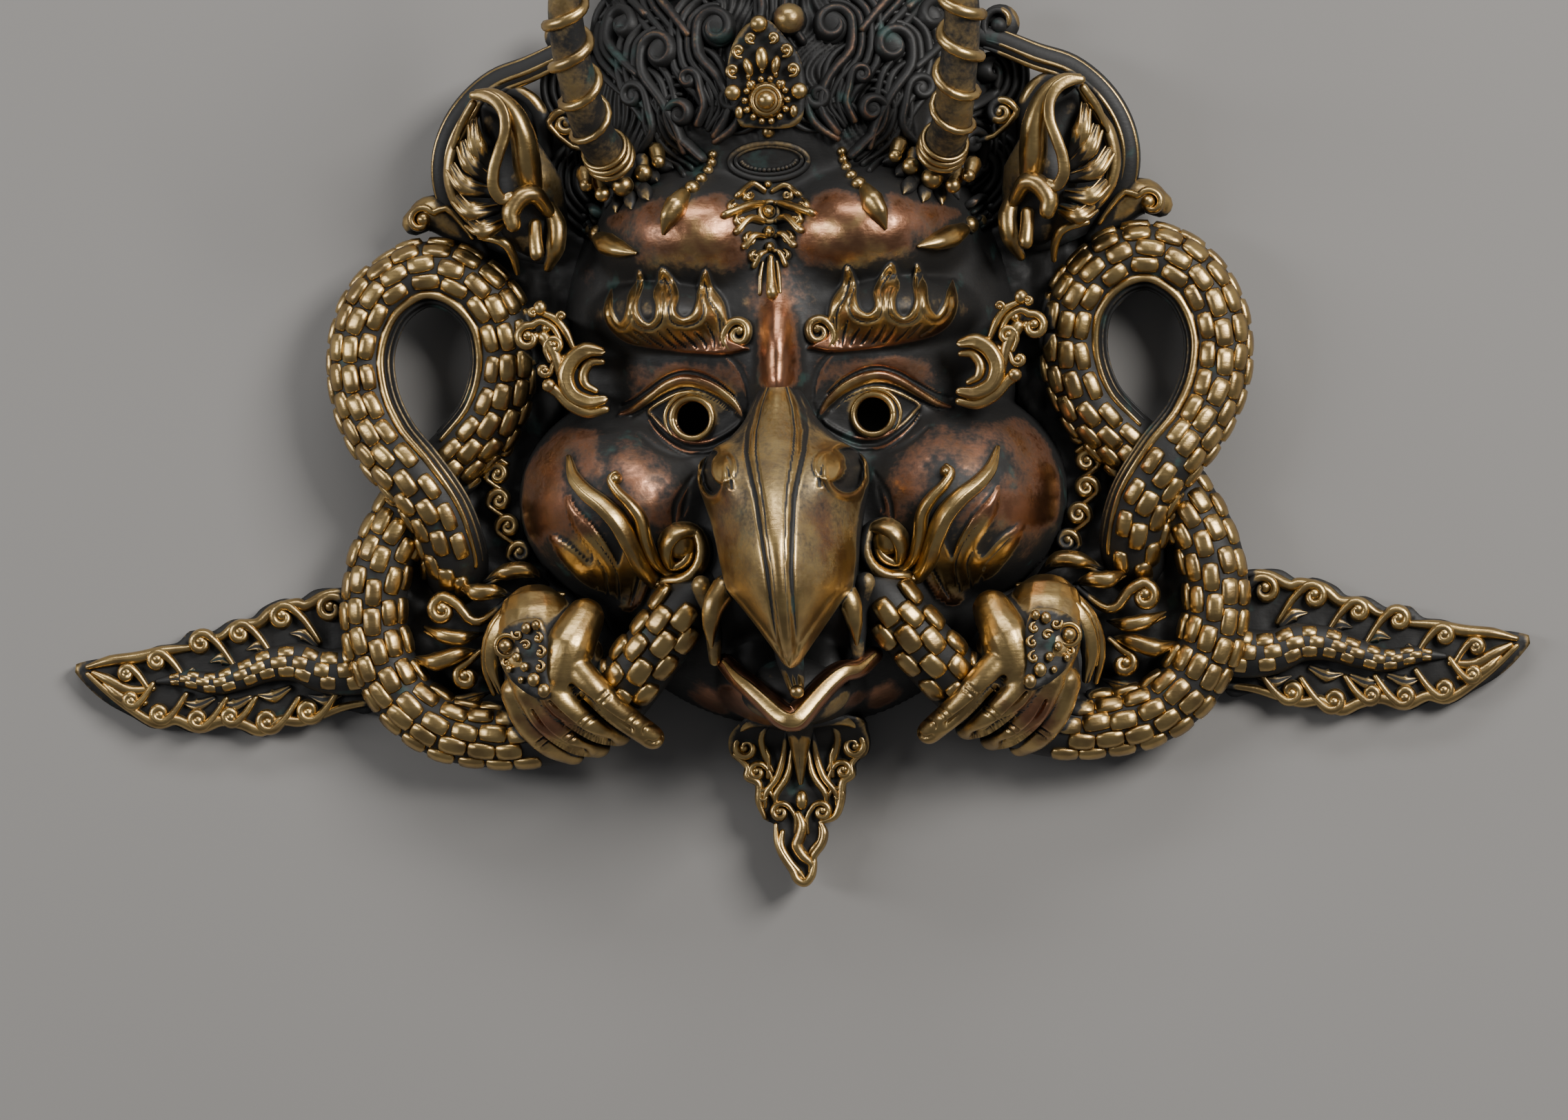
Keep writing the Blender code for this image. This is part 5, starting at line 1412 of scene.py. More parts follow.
@dataclass
class Ears(Pair):
    """Pointed ears with a rolled rim and leaf lobes, and the plumes behind them."""

    name: str = "ears_and_plumes"

    def half(self, clay: Clay) -> None:
        """Work one side."""
        self.ear(clay)
        self.plume(clay)

    def ear(self, clay: Clay) -> None:
        """Work one ear."""
        bed = ((88, 112), (97, 116), (106, 115.5), (113, 109), (118.6, 99), (120.5, 88), (118.5, 76),
               (112, 64), (100, 57), (84, 54), (80, 64), (83.5, 78), (88.4, 84), (88.4, 94), (87, 104))
        clay.rub = -0.45
        clay.quilt(SIGHT.flat(bed, 14), lambda x, y: 14 + 0.5 * rough(x, y, 5, 17), 2, 1.6)
        clay.rod(((88, 68, 22), (90, 80, 28), (95, 94, 30), (103, 108, 34)),
                 (12, 13, 9.5, 2), (12, 10, 6, 2), sides=18)
        clay.rub = 0.0
        back = ((86.5, 78, 34), (87.5, 88, 38), (88.5, 98, 40), (92, 107, 41), (98, 112.5, 42),
                (104, 114, 42))
        clay.warm = 0.15
        clay.rod(back, (4, 5, 4.6, 3.6, 2.6, 1), (5, 6, 6, 5, 3.6, 1.5), sides=16)
        clay.warm = 0.0
        rim = ((92.6, 77.4, 44), (95.6, 76.4, 45), (98, 80.6, 47), (97.6, 86.6, 48), (95.6, 92.7, 48.5),
               (93.5, 99, 48), (93.6, 105.4, 47.5), (96.2, 110.2, 47), (100.4, 112.6, 46),
               (104.8, 112.8, 45))
        clay.rub = 0.14
        clay.rod(rim, (1.5, 2.1, 2.1, 2, 2, 2, 2, 2.2, 2.2, 1.4), (1.6,) * 4, sides=16,
                 square=0.6, sink=2)
        clay.rub = 0.05
        clay.rod(((105.4, 110, 42), (109.8, 103.2, 39), (113.4, 95, 36)), (1.5, 1.6, 1), sides=10)
        lobes = (((101.6, 87), (104.6, 95), (105.8, 103.5)), ((101.6, 83.5), (107, 89), (109.8, 96)),
                 ((101.5, 79), (109, 81.5), (113.8, 88)), ((99.5, 73), (107, 72.6), (112, 77)),
                 ((97.5, 68), (103, 66), (107.5, 68.5)))
        for points in lobes:
            rows = [(x, y, z) for (x, y), z in zip(points, (36, 40, 38))]
            clay.rub = -0.4
            clay.rod(rows, (2.2, 3.6, 1.2), (2.6, 3.4, 1.6), sides=20, grooves=(-0.45, 0.1), cut=1.1)
            clay.rub = 0.1
            clay.rod([(x + 1.8, y - 1.2, z + 1.6) for x, y, z in rows], (0.5, 1.15, 0.5), sides=8)
            clay.rod([(x - 1.2, y + 1.4, z + 2) for x, y, z in rows], (0.3, 0.6, 0.3), sides=6)
        clay.rub = -0.05
        edge = ((104, 110, 34), (109.5, 101, 33), (113.5, 94.5, 33), (115.4, 85, 32), (113.6, 76.5, 31),
                (109, 70, 29), (103, 64, 26))
        clay.rod(edge, (1.4, 2.4, 2.6, 2.6, 2.4, 2.2, 1.6), (3,) * 7, sides=10)
        volute = ((81, 72, 35), (84.5, 77.5, 40), (89, 77, 42), (92.6, 72, 43), (92, 67.5, 43))
        clay.rod(volute, (2.4, 3.2, 3.6, 3.4, 2.8), (3.2, 4, 4.2, 4, 3.4), sides=14)
        clay.rod(((85.2, 67, 38), (84.8, 62, 40), (84.2, 57, 41)), (2.4, 2.4, 2.6), sides=10)
        clay.rub = -0.4
        clay.rod(((81.5, 74, 32), (78.4, 67, 33), (79, 59, 33), (82.5, 52, 28)),
                 (2.4, 3.4, 3.4, 1.6), sides=12)
        clay.rub = -0.02
        clay.rod(((93.9, 50.6, 24), (94.6, 56.8, 29), (97.6, 61.4, 32), (105.7, 63.3, 31)),
                 (1, 1.6, 1.7, 1), sides=10)

    def plume(self, clay: Clay) -> None:
        """Work the openwork band behind one ear and its scrolls."""
        route = ((70, 129, 19), (76.5, 127, 19), (89, 121.5, 19), (101, 117, 18), (111, 108.5, 18),
                 (117.5, 98, 17), (120, 87, 16), (118.5, 76, 14), (113, 66, 10))
        clay.rub = -0.85
        clay.rod(route, (3.6, 4.4, 4.8, 5, 5, 4.8, 4.6, 4.4), (5,) * 8, sides=20, square=0.85)
        clay.rub = 0.2
        for offset, half in ((-3.7, 1.1), (-1, 1), (3.6, 0.7)):
            path = smooth(route, 5)
            ridge = path - axes(path)[1] * offset + (0, 0, 4.4 - 0.1 * offset * offset)
            clay.rod(ridge[2:-4], (half * 0.6, half, half, half, half * 0.6), spans=1, sides=8)
        clay.curl((77, 133.6), 6.6, 235, -0.95, 1.4, 21.5, stem=((92, 123.6), (83, 126.6)),
                  rise=1.8, eye=2.1)
        clay.curl((128, 69.4), 5.4, 150, -1, 1.5, 20,
                  stem=((110, 63), (114, 68.6), (119, 73.6)), rise=1.8, eye=1.7)
        clay.rub = -0.25
        clay.bead((77, 133, 17), (6.8, 6.8, 3.4), detail=3)
        clay.rod(((108, 58, 12), (117, 67, 14), (125, 72, 15), (131, 69, 14)),
                 (3.4, 5.4, 6.4, 4.6), sides=14)
        clay.rub = 0.0
        clay.rod(((84.5, 92, 14), (84.6, 102, 17), (88, 110, 19), (94, 114, 20),
                  (102, 114.5, 20)), (2.6, 3, 2.8, 2.2, 1.2), sides=16, grooves=(0.3,))
        clay.curl((76.6, 102.2), 5.2, 350, 1.5, 1.5, 22, stem=((64, 92), (74, 94)), rise=1.6)


@dataclass
class Horns(Pair):
    """Horns in beaded collars, each wound by a small serpent."""

    name: str = "horns"
    skin: Finish = HORN
    radius: float = 6.9
    winding: float = 2.15
    pitch: float = 14.5
    route: Route = ((55, 83, 45), (57, 87.5, 55), (61.2, 96, 68), (64, 110, 82), (66.2, 124, 90),
                    (66.5, 138, 97), (63, 152, 103), (58, 168, 108), (50, 188, 112))

    def half(self, clay: Clay) -> None:
        """Work one horn."""
        path = smooth(self.route, 10)
        clay.rub = -0.62
        clay.band(path, [self.radius * share for share in (1, 1, 0.95, 0.9, 0.8, 0.62, 0.42)], sides=24)
        fine = smooth(self.route, 60)
        _, side, front = axes(fine)
        angle = run_lengths(fine) / self.pitch * math.tau + 0.9
        reach = self.radius * spread((1, 0.9, 0.72, 0.45), len(fine)) + self.winding * 0.5
        coil = fine + (side * np.cos(angle)[:, None] + front * np.sin(angle)[:, None]) * reach[:, None]
        clay.rub = 0.2
        clay.band(coil[110:-20:3], (self.winding * 0.5, self.winding, self.winding, self.winding * 0.8),
                  sides=10)
        for index, thick in ((52, 1.3), (66, 1.3), (78, 0.9)):
            turn = np.linspace(0, math.tau, 37)[:, None]
            ring = fine[index] + (side[index] * np.cos(turn) + front[index] * np.sin(turn)) * (
                self.radius + 0.7)
            clay.band(ring, (thick,), sides=10)
        beads = ((39.5, 88, 2.3), (44.9, 84.2, 3.1), (52.2, 80, 3.8), (59.4, 77.2, 2.7), (65, 80.5, 2.3))
        for x, y, reach in beads:
            clay.bead((x, y, 50), reach, detail=3)
            clay.rod(((x + 1.5, y + 4, 44), (x, y, 48)), (3, 2.2), sides=8, spans=3)
        clay.rub = -0.45
        for index, (x, y) in enumerate(((35, 84.5), (39.5, 80.2), (45, 77), (51, 75), (57, 75.4),
                                        (62.5, 77.6), (66.5, 81.5), (42, 74.5), (48.5, 71.6), (55, 70.6),
                                        (61, 72.4))):
            foot = ((x * 2 + 52) / 3, (y * 2 + 88) / 3)
            clay.drape((foot, (x, y)), (2.2, 2.8, 2.4, 0.4), (2.2, 2.6, 2, 0.6),
                       1.6 if index < 7 else 0.5, sides=14, grooves=(0,), cut=0.6)


@dataclass
class Hair(Pair):
    """Dark locks that rise behind the jewels, with scrolled ends."""

    name: str = "hair"
    skin: Finish = DARK
    strand: float = 1.25

    def lock(self, clay: Clay, centre: tuple[float, float], radius: float, turns: float,
             start: float, stem: Route, count: int = 3) -> None:
        """Scroll of hair with strands that run beside its stem.

        Args:
            clay: the piece being worked.
            centre: middle of the scroll as seen.
            radius: its reach.
            turns: turns it makes, below 0 for clockwise.
            start: angle at which the scroll starts, in degrees.
            stem: places from the root up to the scroll.
            count: strands in the lock.
        """
        flat = list(stem) + spiral(centre, radius, start, turns, 0.16)
        thick = self.strand * (1 + radius * 0.06)
        clay.drape(flat, (thick, thick * 1.2, thick * 1.2, thick, thick * 0.8),
                   (thick * 2, thick * 2.6, thick * 2.6, thick * 2.2, thick * 1.6), 1.8, 3, sides=8)
        middle = SIGHT.grounded(np.array([centre]), FORM)[0]
        clay.bead(middle + (0, 0, 2.2), (radius * 0.9, radius * 0.9, 2.4), detail=3, true=True)
        path = smooth(flat[:len(stem) + 4], 4)
        ahead = unit(np.gradient(path, axis=0))
        side = np.column_stack((ahead[:, 1], -ahead[:, 0])) * (1 if turns > 0 else -1)
        for number in range(1, count + 1):
            beside = path + side * (number * thick * 1.9)
            clay.drape(beside[:-1], (thick * 0.6, thick, thick, thick * 0.5),
                       (thick, thick * 1.8, thick * 1.8, thick * 0.8), 1.2 - 0.3 * number, 1, sides=8)

    def half(self, clay: Clay) -> None:
        """Work one side's locks."""
        clay.rub, clay.warm = -0.5, 0.5
        locks = (
            ((18, 133), 6.6, 1.5, 0, ((19, 97), (13.5, 106), (17, 116), (24, 124))),
            ((38, 125.5), 6.4, 1.5, 0, ((30, 92), (33, 101), (38, 110), (44, 118))),
            ((31, 104.5), 4.6, 1.4, 0, ((24, 89), (29, 94), (34, 98.5))),
            ((13, 109.5), 4, 1.4, 180, ((19, 95), (13, 99), (9.6, 104))),
            ((47.5, 111), 4.6, -1.4, 180, ((46, 92), (41, 99), (42, 106))),
            ((27.5, 116), 3.4, -1.3, 180, ((25, 101), (22.5, 107), (23.5, 112.5))),
            ((10, 152), 6.2, -1.4, 180, ((8, 128), (2.5, 137), (3, 146))),
            ((33, 150), 6.4, 1.4, 0, ((28, 131), (34, 138), (39.5, 144))),
            ((52, 135), 5.6, 1.4, 0, ((46, 118), (52, 123), (57.5, 129))),
            ((50, 154), 5, 1.4, 0, ((44, 138), (50, 143), (55, 149))),
            ((21, 168), 5.6, 1.4, 0, ((15, 148), (20, 155), (26.5, 162))),
            ((37, 168), 4.6, 1.4, 0, ((30, 154), (36, 158), (41.5, 163))),
            ((7, 178), 4.6, -1.4, 180, ((8, 162), (2.5, 168), (2.4, 174))),
            ((64, 93), 4.4, 1.4, 0, ((62, 80), (67, 84), (68.5, 89))),
            ((70.5, 84), 4, 1.3, 0, ((64, 70), (70, 74), (74, 79))),
            ((72, 116), 4.4, 1.3, 0, ((64, 104), (70, 107), (75.5, 111.5))))
        for centre, radius, turns, start, stem in locks:
            self.lock(clay, centre, radius, turns, start, stem)
        points = (((3, 160), (4, 176), (1, 190)), ((14, 160), (17, 176), (11, 187)),
                  ((27, 158), (31, 170), (25, 181)), ((42, 150), (47, 162), (42, 172)),
                  ((55, 140), (59, 150), (57, 158)))
        for foot, middle, tip in points:
            route = [(x, y, max(float(FORM.ground(np.array(x), np.array(y))), 11))
                     for x, y in smooth((foot, middle, tip), 6)]
            clay.band(route, (2.6, 4.4, 4, 0.9), sides=16)


@dataclass
class Jewels:
    """Flower of the crown, beaded oval, brow pendant and drops on the forehead."""

    axis: float = -5.0

    def flower(self, clay: Clay) -> None:
        """Beaded boss with petals and small curls."""
        ground = float(SIGHT.grounded(np.array([(self.axis, 108)]), FORM)[0, 2])
        level = ground + 7
        centre = (self.axis, 108.5)
        bed = ((-9.5, -9), (9.5, -9), (13.5, 2), (12, 14), (7.5, 21), (1, 28), (-6, 27), (-11, 21),
               (-13.5, 12), (-13.5, 2))
        outline = SIGHT.flat([(centre[0] + x, centre[1] + y) for x, y in bed], level)
        clay.rub = -0.4
        clay.quilt(outline, lambda x, y: level - 2.6 + 0.3 * rough(x, y, 2.5, 13), ground - 3, 1.2)
        clay.rub = 0.06
        clay.bead((*centre, level + 1.4), (3.2, 3.2, 3), detail=3)
        clay.ring(centre, (4.9, 4.9), 0.9, level + 0.4)
        clay.bead((*centre, level - 1), (6.4, 6.4, 2), detail=3)
        for step in range(14):
            turn = step * math.tau / 14
            clay.bead((centre[0] + 7.5 * math.cos(turn), centre[1] + 7.5 * math.sin(turn), level),
                      (1.25, 1.25, 1.5))
        for x, y, wide, tall in ((-1.2, 123, 2.3, 4.2), (-6, 120, 1.7, 3.4), (3.6, 120.6, 1.7, 3.4)):
            clay.bead((self.axis + x, y, level + 0.2), (wide, tall, 2.2), turn=-x * 3, detail=3)
            clay.bead((self.axis + x, y - tall * 0.9, level - 0.2), (1, 1.6, 1.6))
        for side in (-1, 1):
            for x, y, reach in ((10.4, 119, 2.5), (8.2, 125.8, 2.4), (3.8, 130.2, 1.9)):
                clay.curl((self.axis - 1 + side * x, y), reach, turned(250, side), 1.15 * side,
                          0.95, level, rise=1.6)
            clay.bead((self.axis + side * 11.6, 111.4, level), (2.9, 2.9, 2.4), detail=3)
            clay.bead((self.axis + side * 9.5, 104.5, level - 1), (1.6, 2.4, 1.6))
            clay.bead((self.axis + side * 5.5, 113.8, level), (1.4, 1.9, 1.6), turn=side * -30)
        clay.bead((-7, 135, level), (3.1, 3.1, 3), detail=3)
        clay.bead((-4.5, 97.5), (2.4, 2.4, 2.6))
        stub = SIGHT.grounded(np.array([(4, 136)]), FORM)[0]
        clay.rub = -0.5
        clay.warm = 0.3
        clay.band([stub, stub + (0, 0, 6.5)], (5.8, 5.6), sides=16, ups=np.tile((0, 1, 0), (2, 1)))
        clay.rub = clay.warm = 0.0

    def oval(self, clay: Clay) -> None:
        """Double ring with beads along its lower side."""
        centre = (self.axis + 0.5, 87.2)
        clay.rub = -0.42
        clay.ring(centre, (13.6, 6.4), 1.15, count=44)
        clay.ring((centre[0], centre[1] + 0.4), (11.6, 4.9), 0.8, count=44)
        for step in range(17):
            turn = math.radians(190 + step * 10)
            clay.bead((centre[0] + 9.6 * math.cos(turn), centre[1] + 0.6 + 3.6 * math.sin(turn)),
                      (1, 1, 1.5))
        clay.rub = 0.0

    def pendant(self, clay: Clay) -> None:
        """Jewel that hangs down the middle of the brow."""
        axis = self.axis
        clay.ring((axis, 69.5), (3.4, 3.4), 1)
        for x, y, reach, rise in ((0, 79.2, 1.5, 2.6), (0, 69.5, 2.5, 4.6), (0, 62.6, 2.2, 4),
                                  (0.2, 57.4, 1.9, 3.6)):
            clay.bead((axis + x, y), (reach, reach, rise), detail=3)
        clay.drape(((axis + 0.3, 53.5), (axis + 0.6, 47), (axis + 1, 40.4)), (1.2, 1.7, 2.3),
                   (3, 3.4, 3.8), 0.5, sides=12)
        for side in (-1, 1):
            for foot, mid, tip, half in (
                    ((1.5, 76.5), (6, 78.5), (11, 75), 1.3),
                    ((2.5, 72), (8, 71), (15.5, 68.6), 1.6),
                    ((2.5, 66), (7.5, 67), (11.5, 63), 1.5),
                    ((2, 61), (6, 61.5), (9, 58), 1.4),
                    ((1.5, 56), (4, 55), (5.6, 51), 1.2),
                    ((2.6, 52), (3.2, 47), (3.4, 41), 0.9)):
                route = [(axis + side * x, y) for x, y in (foot, mid, tip)]
                clay.drape(route, (half * 0.7, half, half * 0.9), (half * 1.6, half * 2.2, half * 1.6),
                           0.3, sides=8)
            for x, y, reach in ((7, 75, 2.4), (10, 66.6, 2.4), (7, 60.4, 2.3), (5.4, 54.4, 2),
                                (12.4, 71.4, 2)):
                clay.curl((axis + side * x, y), reach, 90, -1.1 * side, 0.85, rise=2.2)

    def drops(self, clay: Clay) -> None:
        """Bead strings that end in a drop."""
        for x, y, reach in ((21, 90, 1.7), (21.6, 87.2, 1.9), (22.6, 84.4, 2), (24.2, 81.6, 2.1),
                            (26.6, 78.6, 2.7), (72, 72.5, 1.9), (72.2, 69.5, 2), (71, 66.6, 2.2),
                            (68.4, 64.6, 2.6), (65, 63.4, 3.1)):
            clay.bead((x, y), (reach, reach, reach * 1.25), detail=3)
        for points, first in ((((29, 75.5), (31.2, 71.6), (33.6, 67.6), (35.6, 62.8)), 2.4),
                              (((61.5, 61.6), (57, 59.6), (52, 58), (46.5, 56.6)), 2.6)):
            clay.drape(points, (first, 4, 3, 0.5), (3.4, 5.4, 4.4, 0.8), 0.6, sides=16)

    def build(self) -> bpy.types.Object:
        """Model all the jewels."""
        clay = Clay()
        self.flower(clay)
        self.oval(clay)
        self.pendant(clay)
        for side in SIDES:
            clay.side = side
            self.drops(clay)
            clay.curl((11.4, 27.4), 6.2, 300, 1.45, 1.7,
                      stem=((21, 36), (19, 28), (16.6, 22.6)), rise=1.9)
        return clay.finish("jewels_and_brow_scrolls", RUBBED)


@dataclass
class ChinLeaf:
    """Leaf under the chin with paired scrolls and a flame tip."""

    thick: float = 17.0
    axis: float = 2.0

    def build(self) -> bpy.types.Object:
        """Model the leaf."""
        clay = Clay()
        seen = ((-16, -106), (-22, -112), (-22.5, -119), (-17.5, -123.5), (-17.6, -127), (-13.5, -129.5),
                (-13.5, -136), (-11.5, -141.5), (-7.5, -144), (-7.2, -150), (-5, -155), (-1.6, -160),
                (0.2, -163.5), (3, -164.6), (5.4, -162), (6.4, -158), (6.4, -155), (9.4, -151),
                (10.4, -147), (9, -143.5), (14.5, -141.5), (16.8, -136), (17.6, -129.5), (21, -127),
                (21, -123), (25.5, -119), (25.4, -112), (20, -106))

        def top(x: Numbers, y: Numbers) -> Numbers:
            """Ground of the leaf, which rises to the chin."""
            return self.thick - 2 + np.clip((y + 118) * 0.9, 0, 14) + 0.4 * rough(x, y, 3, 15)

        clay.rub = -0.42
        clay.quilt(SIGHT.flat(seen, self.thick), top, 7, 1.2)
        level = self.thick - 1
        clay.rub = 0.0
        for first, last in ((2, 8), (8, 17), (15, 20), (19, 26)):
            rim = [(x * 0.94 + 0.1, y * 0.99 - 1) for x, y in seen[first:last]]
            clay.rod(rim, (0.8, 1.5, 1.6, 1.5, 0.8), (1.4, 2.2, 2.4, 2.2, 1.4), level - 0.2, sides=10)
        clay.rub = 0.06
        for side in (-1, 1):
            for x, y, reach, turns, thick in ((18.6, -116.6, 5.2, -1.45, 1.5),
                                              (15, -125.2, 3.4, -1.3, 1.2), (7.2, -139.4, 3.6, -1.3, 1.2),
                                              (13, -133.6, 2.6, -1.2, 1)):
                stem_x = self.axis + side * (x - reach * 1.4)
                rows = ((stem_x, y - reach * 2), (stem_x - side * 0.3, y - reach * 0.6))
                clay.curl((self.axis + side * x, y), reach, turned(150, side), turns * side,
                          thick, level, rows, 2)
            for points in (((4.4, -110), (5.6, -119), (8, -127), (12, -132.5), (12.6, -137.5)),
                           ((8.4, -107), (13, -112), (12.4, -119), (9.6, -125)),
                           ((2.6, -116), (4.2, -126), (8.6, -133), (8.6, -137))):
                route = [(self.axis + side * x, y, level + max(0, (y + 116) * 0.8)) for x, y in points]
                clay.rod(route, (0.9, 1.4, 1.4, 0.7), (1.6, 2.6, 2.6, 1.2), sides=8)
            collar = [(self.axis + side * x, y, z) for x, y, z in
                      ((0, -108.5, 30), (8, -107.5, 28), (16, -107.5, 24), (22, -111, 19))]
            clay.rod(collar, (2.6, 2.4, 2.2, 1.2), sides=12)
        axis = self.axis
        clay.rod(((axis, -104, 32), (axis, -112, 24), (axis, -120, 18.5), (axis, -129, 17.5)),
                 (7, 4.4, 2.6, 1), (6, 4, 3.2, 1.6), sides=20, grooves=(0,), cut=0.8)
        clay.bead((axis + 0.3, -135.2, level + 0.8), (2.2, 3.6, 2.8), detail=3)
        clay.rod(((1, -140), (2.4, -144), (1.4, -148), (0.4, -151), (2.4, -154.6), (5, -157.4),
                  (4.6, -160.6)), (1.4, 2, 2.2, 2.2, 2, 1.4, 0.6),
                 (2.4, 3.2, 3.4, 3.4, 3, 2.2, 1), level, sides=10)
        clay.rod(((-4.6, -146), (-5.2, -151), (-2.6, -156), (0.6, -160), (3, -163)),
                 (0.9, 1.5, 1.5, 1.4, 0.7), (1.8, 2.4, 2.4, 2.2, 1.2), level - 0.6, sides=8)
        clay.rod(((8.6, -144), (8.6, -149), (6, -152), (4.4, -154)), (0.8, 1.3, 1.2, 0.6),
                 level=level - 0.6, sides=8)
        return clay.finish("chin_leaf", RUBBED)


@dataclass
class Wear:
    """Rubbing of the high places, worked out over the whole casting."""

    cell: float = 0.8
    near: float = 2.6
    far: float = 9.0
    # Rows of share, place and reach on the head: cheeks, forehead, nose, upper lids, brow,
    # moustache flames, chin, eyeballs and the fold over the lids
    rubbed: Route = ((0.13, 62, -26, 25, 22), (0.36, 24, 56, 19, 13), (0.25, 0, 24, 13, 36),
                     (0.20, 34, 14, 15, 5), (-0.12, 38, 38, 26, 14), (0.09, 62, -54, 16, 13),
                     (0.62, 12, -104, 24, 12), (0.26, FORM.eye_x, FORM.eye_y, 9.5, 8.5),
                     (0.16, 31, 7, 20, 6))
    # The same for brass colour: brow flames, cheek flames, lids and forehead
    brassy: Route = ((1.1, 38, 36, 24, 12), (1.1, 64, -54, 15, 13), (0.8, 31, 2, 19, 9),
                     (0.25, 24, 60, 22, 14))

    def height_map(self, rows: Numbers) -> tuple[Numbers, Numbers]:
        """Topmost height in each cell over the mask, and the map's corner."""
        low = rows[:, :2].min(axis=0) - 30.0
        size = ((rows[:, :2].max(axis=0) + 30.0 - low) / self.cell).astype(int) + 1
        heights = np.zeros(size)
        spot = ((rows[:, :2] - low) / self.cell).astype(int)
        np.maximum.at(heights, (spot[:, 0], spot[:, 1]), rows[:, 2])
        for _ in range(2):
            grown = heights.copy()
            for step in (-1, 1):
                for axis in (0, 1):
                    grown = np.maximum(grown, np.roll(heights, step, axis=axis) - 0.3)
            heights = np.where(heights <= 0.0, grown, heights)
        return heights, low

    def blur(self, heights: Numbers, reach: float) -> Numbers:
        """Heights evened out over a reach in millimetres."""
        sigma = reach / self.cell
        turns = [np.fft.fftfreq(count) for count in heights.shape]
        keep = [np.exp(-2.0 * (math.pi * sigma * turn) ** 2) for turn in turns]
        return np.real(np.fft.ifft2(np.fft.fft2(heights) * keep[0][:, None] * keep[1][None, :]))

    def dress(self, pieces: Sequence[bpy.types.Object]) -> None:
        """Give every piece its wear and its copper colour as point values."""
        places, shapes = [], []
        for piece in pieces:
            places.append(rows_of(piece.data.vertices, "co") / MM + (0.0, MIDDLE_Y, 0.0))
            shapes.append(self.convexity(piece.data, places[-1]))
        heights, low = self.height_map(np.vstack(places))
        near, far = self.blur(heights, self.near), self.blur(heights, self.far)
        for piece, rows, (bend, out) in zip(pieces, places, shapes):
            place = (rows[:, :2] - low) / self.cell - 0.5
            over_near = rows[:, 2] - self.between(near, place)
            over_far = rows[:, 2] - self.between(far, place)
            wear = 0.42 + 0.13 * np.clip(over_near, -4.0, 3.0) + 0.012 * np.clip(over_far, -18.0, 14.0)
            wear += np.clip(bend * 0.55, -0.35, 0.3) - 0.22 * np.clip(0.5 - out, 0.0, 1.0)
            wear += self.region(piece.name, rows) + self.noted(piece.data, "rub")
            warmth = self.warmth(piece.name, rows) + self.noted(piece.data, "warm")
            self.store(piece.data, "wear", np.clip(wear, 0.0, 1.0))
            self.store(piece.data, "warmth", np.clip(warmth, 0.0, 1.0))

    @staticmethod
    def between(field: Numbers, place: Numbers) -> Numbers:
        """Values of a map at places between its cells."""
        spot = np.floor(place).astype(int)
        along, up = (place - spot).T
        i, j = spot.T
        low = field[i, j] * (1.0 - along) + field[i + 1, j] * along
        high = field[i, j + 1] * (1.0 - along) + field[i + 1, j + 1] * along
        return low * (1.0 - up) + high * up

    @staticmethod
    def noted(data: bpy.types.Mesh, name: str) -> Numbers:
        """Values noted while a piece was worked; the layer is taken off again."""
        layer = data.attributes.get(name)
        values = np.zeros(len(data.vertices))
        if layer:
            layer.data.foreach_get("value", values)
            data.attributes.remove(layer)
        return values

    @staticmethod
    def convexity(data: bpy.types.Mesh, rows: Numbers) -> tuple[Numbers, Numbers]:
        """How far each point stands out of its neighbours, and how far it faces forward."""
        pairs = np.empty(len(data.edges) * 2, dtype=np.int32)
        data.edges.foreach_get("vertices", pairs)
        pairs = pairs.reshape(-1, 2)
        out = rows_of(data.vertex_normals, "vector")
        count = np.maximum(np.bincount(pairs.ravel(), minlength=len(rows)), 1)
        bend = np.zeros(len(rows))
        for first, second in ((0, 1), (1, 0)):
            away = rows[pairs[:, first]] - rows[pairs[:, second]]
            lean = (away * out[pairs[:, first]]).sum(axis=1)
            lean /= np.maximum((away ** 2).sum(axis=1), 0.04)
            bend += np.bincount(pairs[:, first], weights=lean, minlength=len(rows))
        return bend / count * 2.0, out[:, 2]

    @staticmethod
    def spot(rows: Numbers, x: float, y: float, reach_x: float, reach_y: float) -> Numbers:
        """Soft round share about a place on both halves."""
        return np.exp(-((np.abs(rows[:, 0]) - x) / reach_x) ** 2 - ((rows[:, 1] - y) / reach_y) ** 2)

    def region(self, name: str, rows: Numbers) -> Numbers:
        """More or less rubbing by place."""
        if name == "upper_beak":
            return np.full(len(rows), -0.05)
        if "hand" in name:
            return 0.26 - 0.25 * self.spot(rows, 96.0, -76.0, 9.0, 12.0)
        if name != "head":
            return np.zeros(len(rows))
        shade = 0.18 + 0.30 * np.clip((rows[:, 1] - 72.0) / 10.0, 0.0, 1.0)
        return sum(share * self.spot(rows, *place) for share, *place in self.rubbed) - shade

    def warmth(self, name: str, rows: Numbers) -> Numbers:
        """Share of copper colour by place."""
        if name == "head":
            return 0.85 - sum(share * self.spot(rows, *place) for share, *place in self.brassy)
        if name == "upper_beak":
            return 0.05 + 0.5 * self.spot(rows, 18.0, -40.0, 9.0, 22.0)
        if "hand" in name:
            return 0.1 + 0.6 * self.spot(rows, 84.0, -106.0, 12.0, 10.0)
        return np.full(len(rows), 0.1)

    @staticmethod
    def store(data: bpy.types.Mesh, name: str, values: Numbers) -> None:
        """Keep one value at each point of a mesh."""
        layer = data.attributes.new(name, "FLOAT", "POINT")
        layer.data.foreach_set("value", values.astype(np.float32))


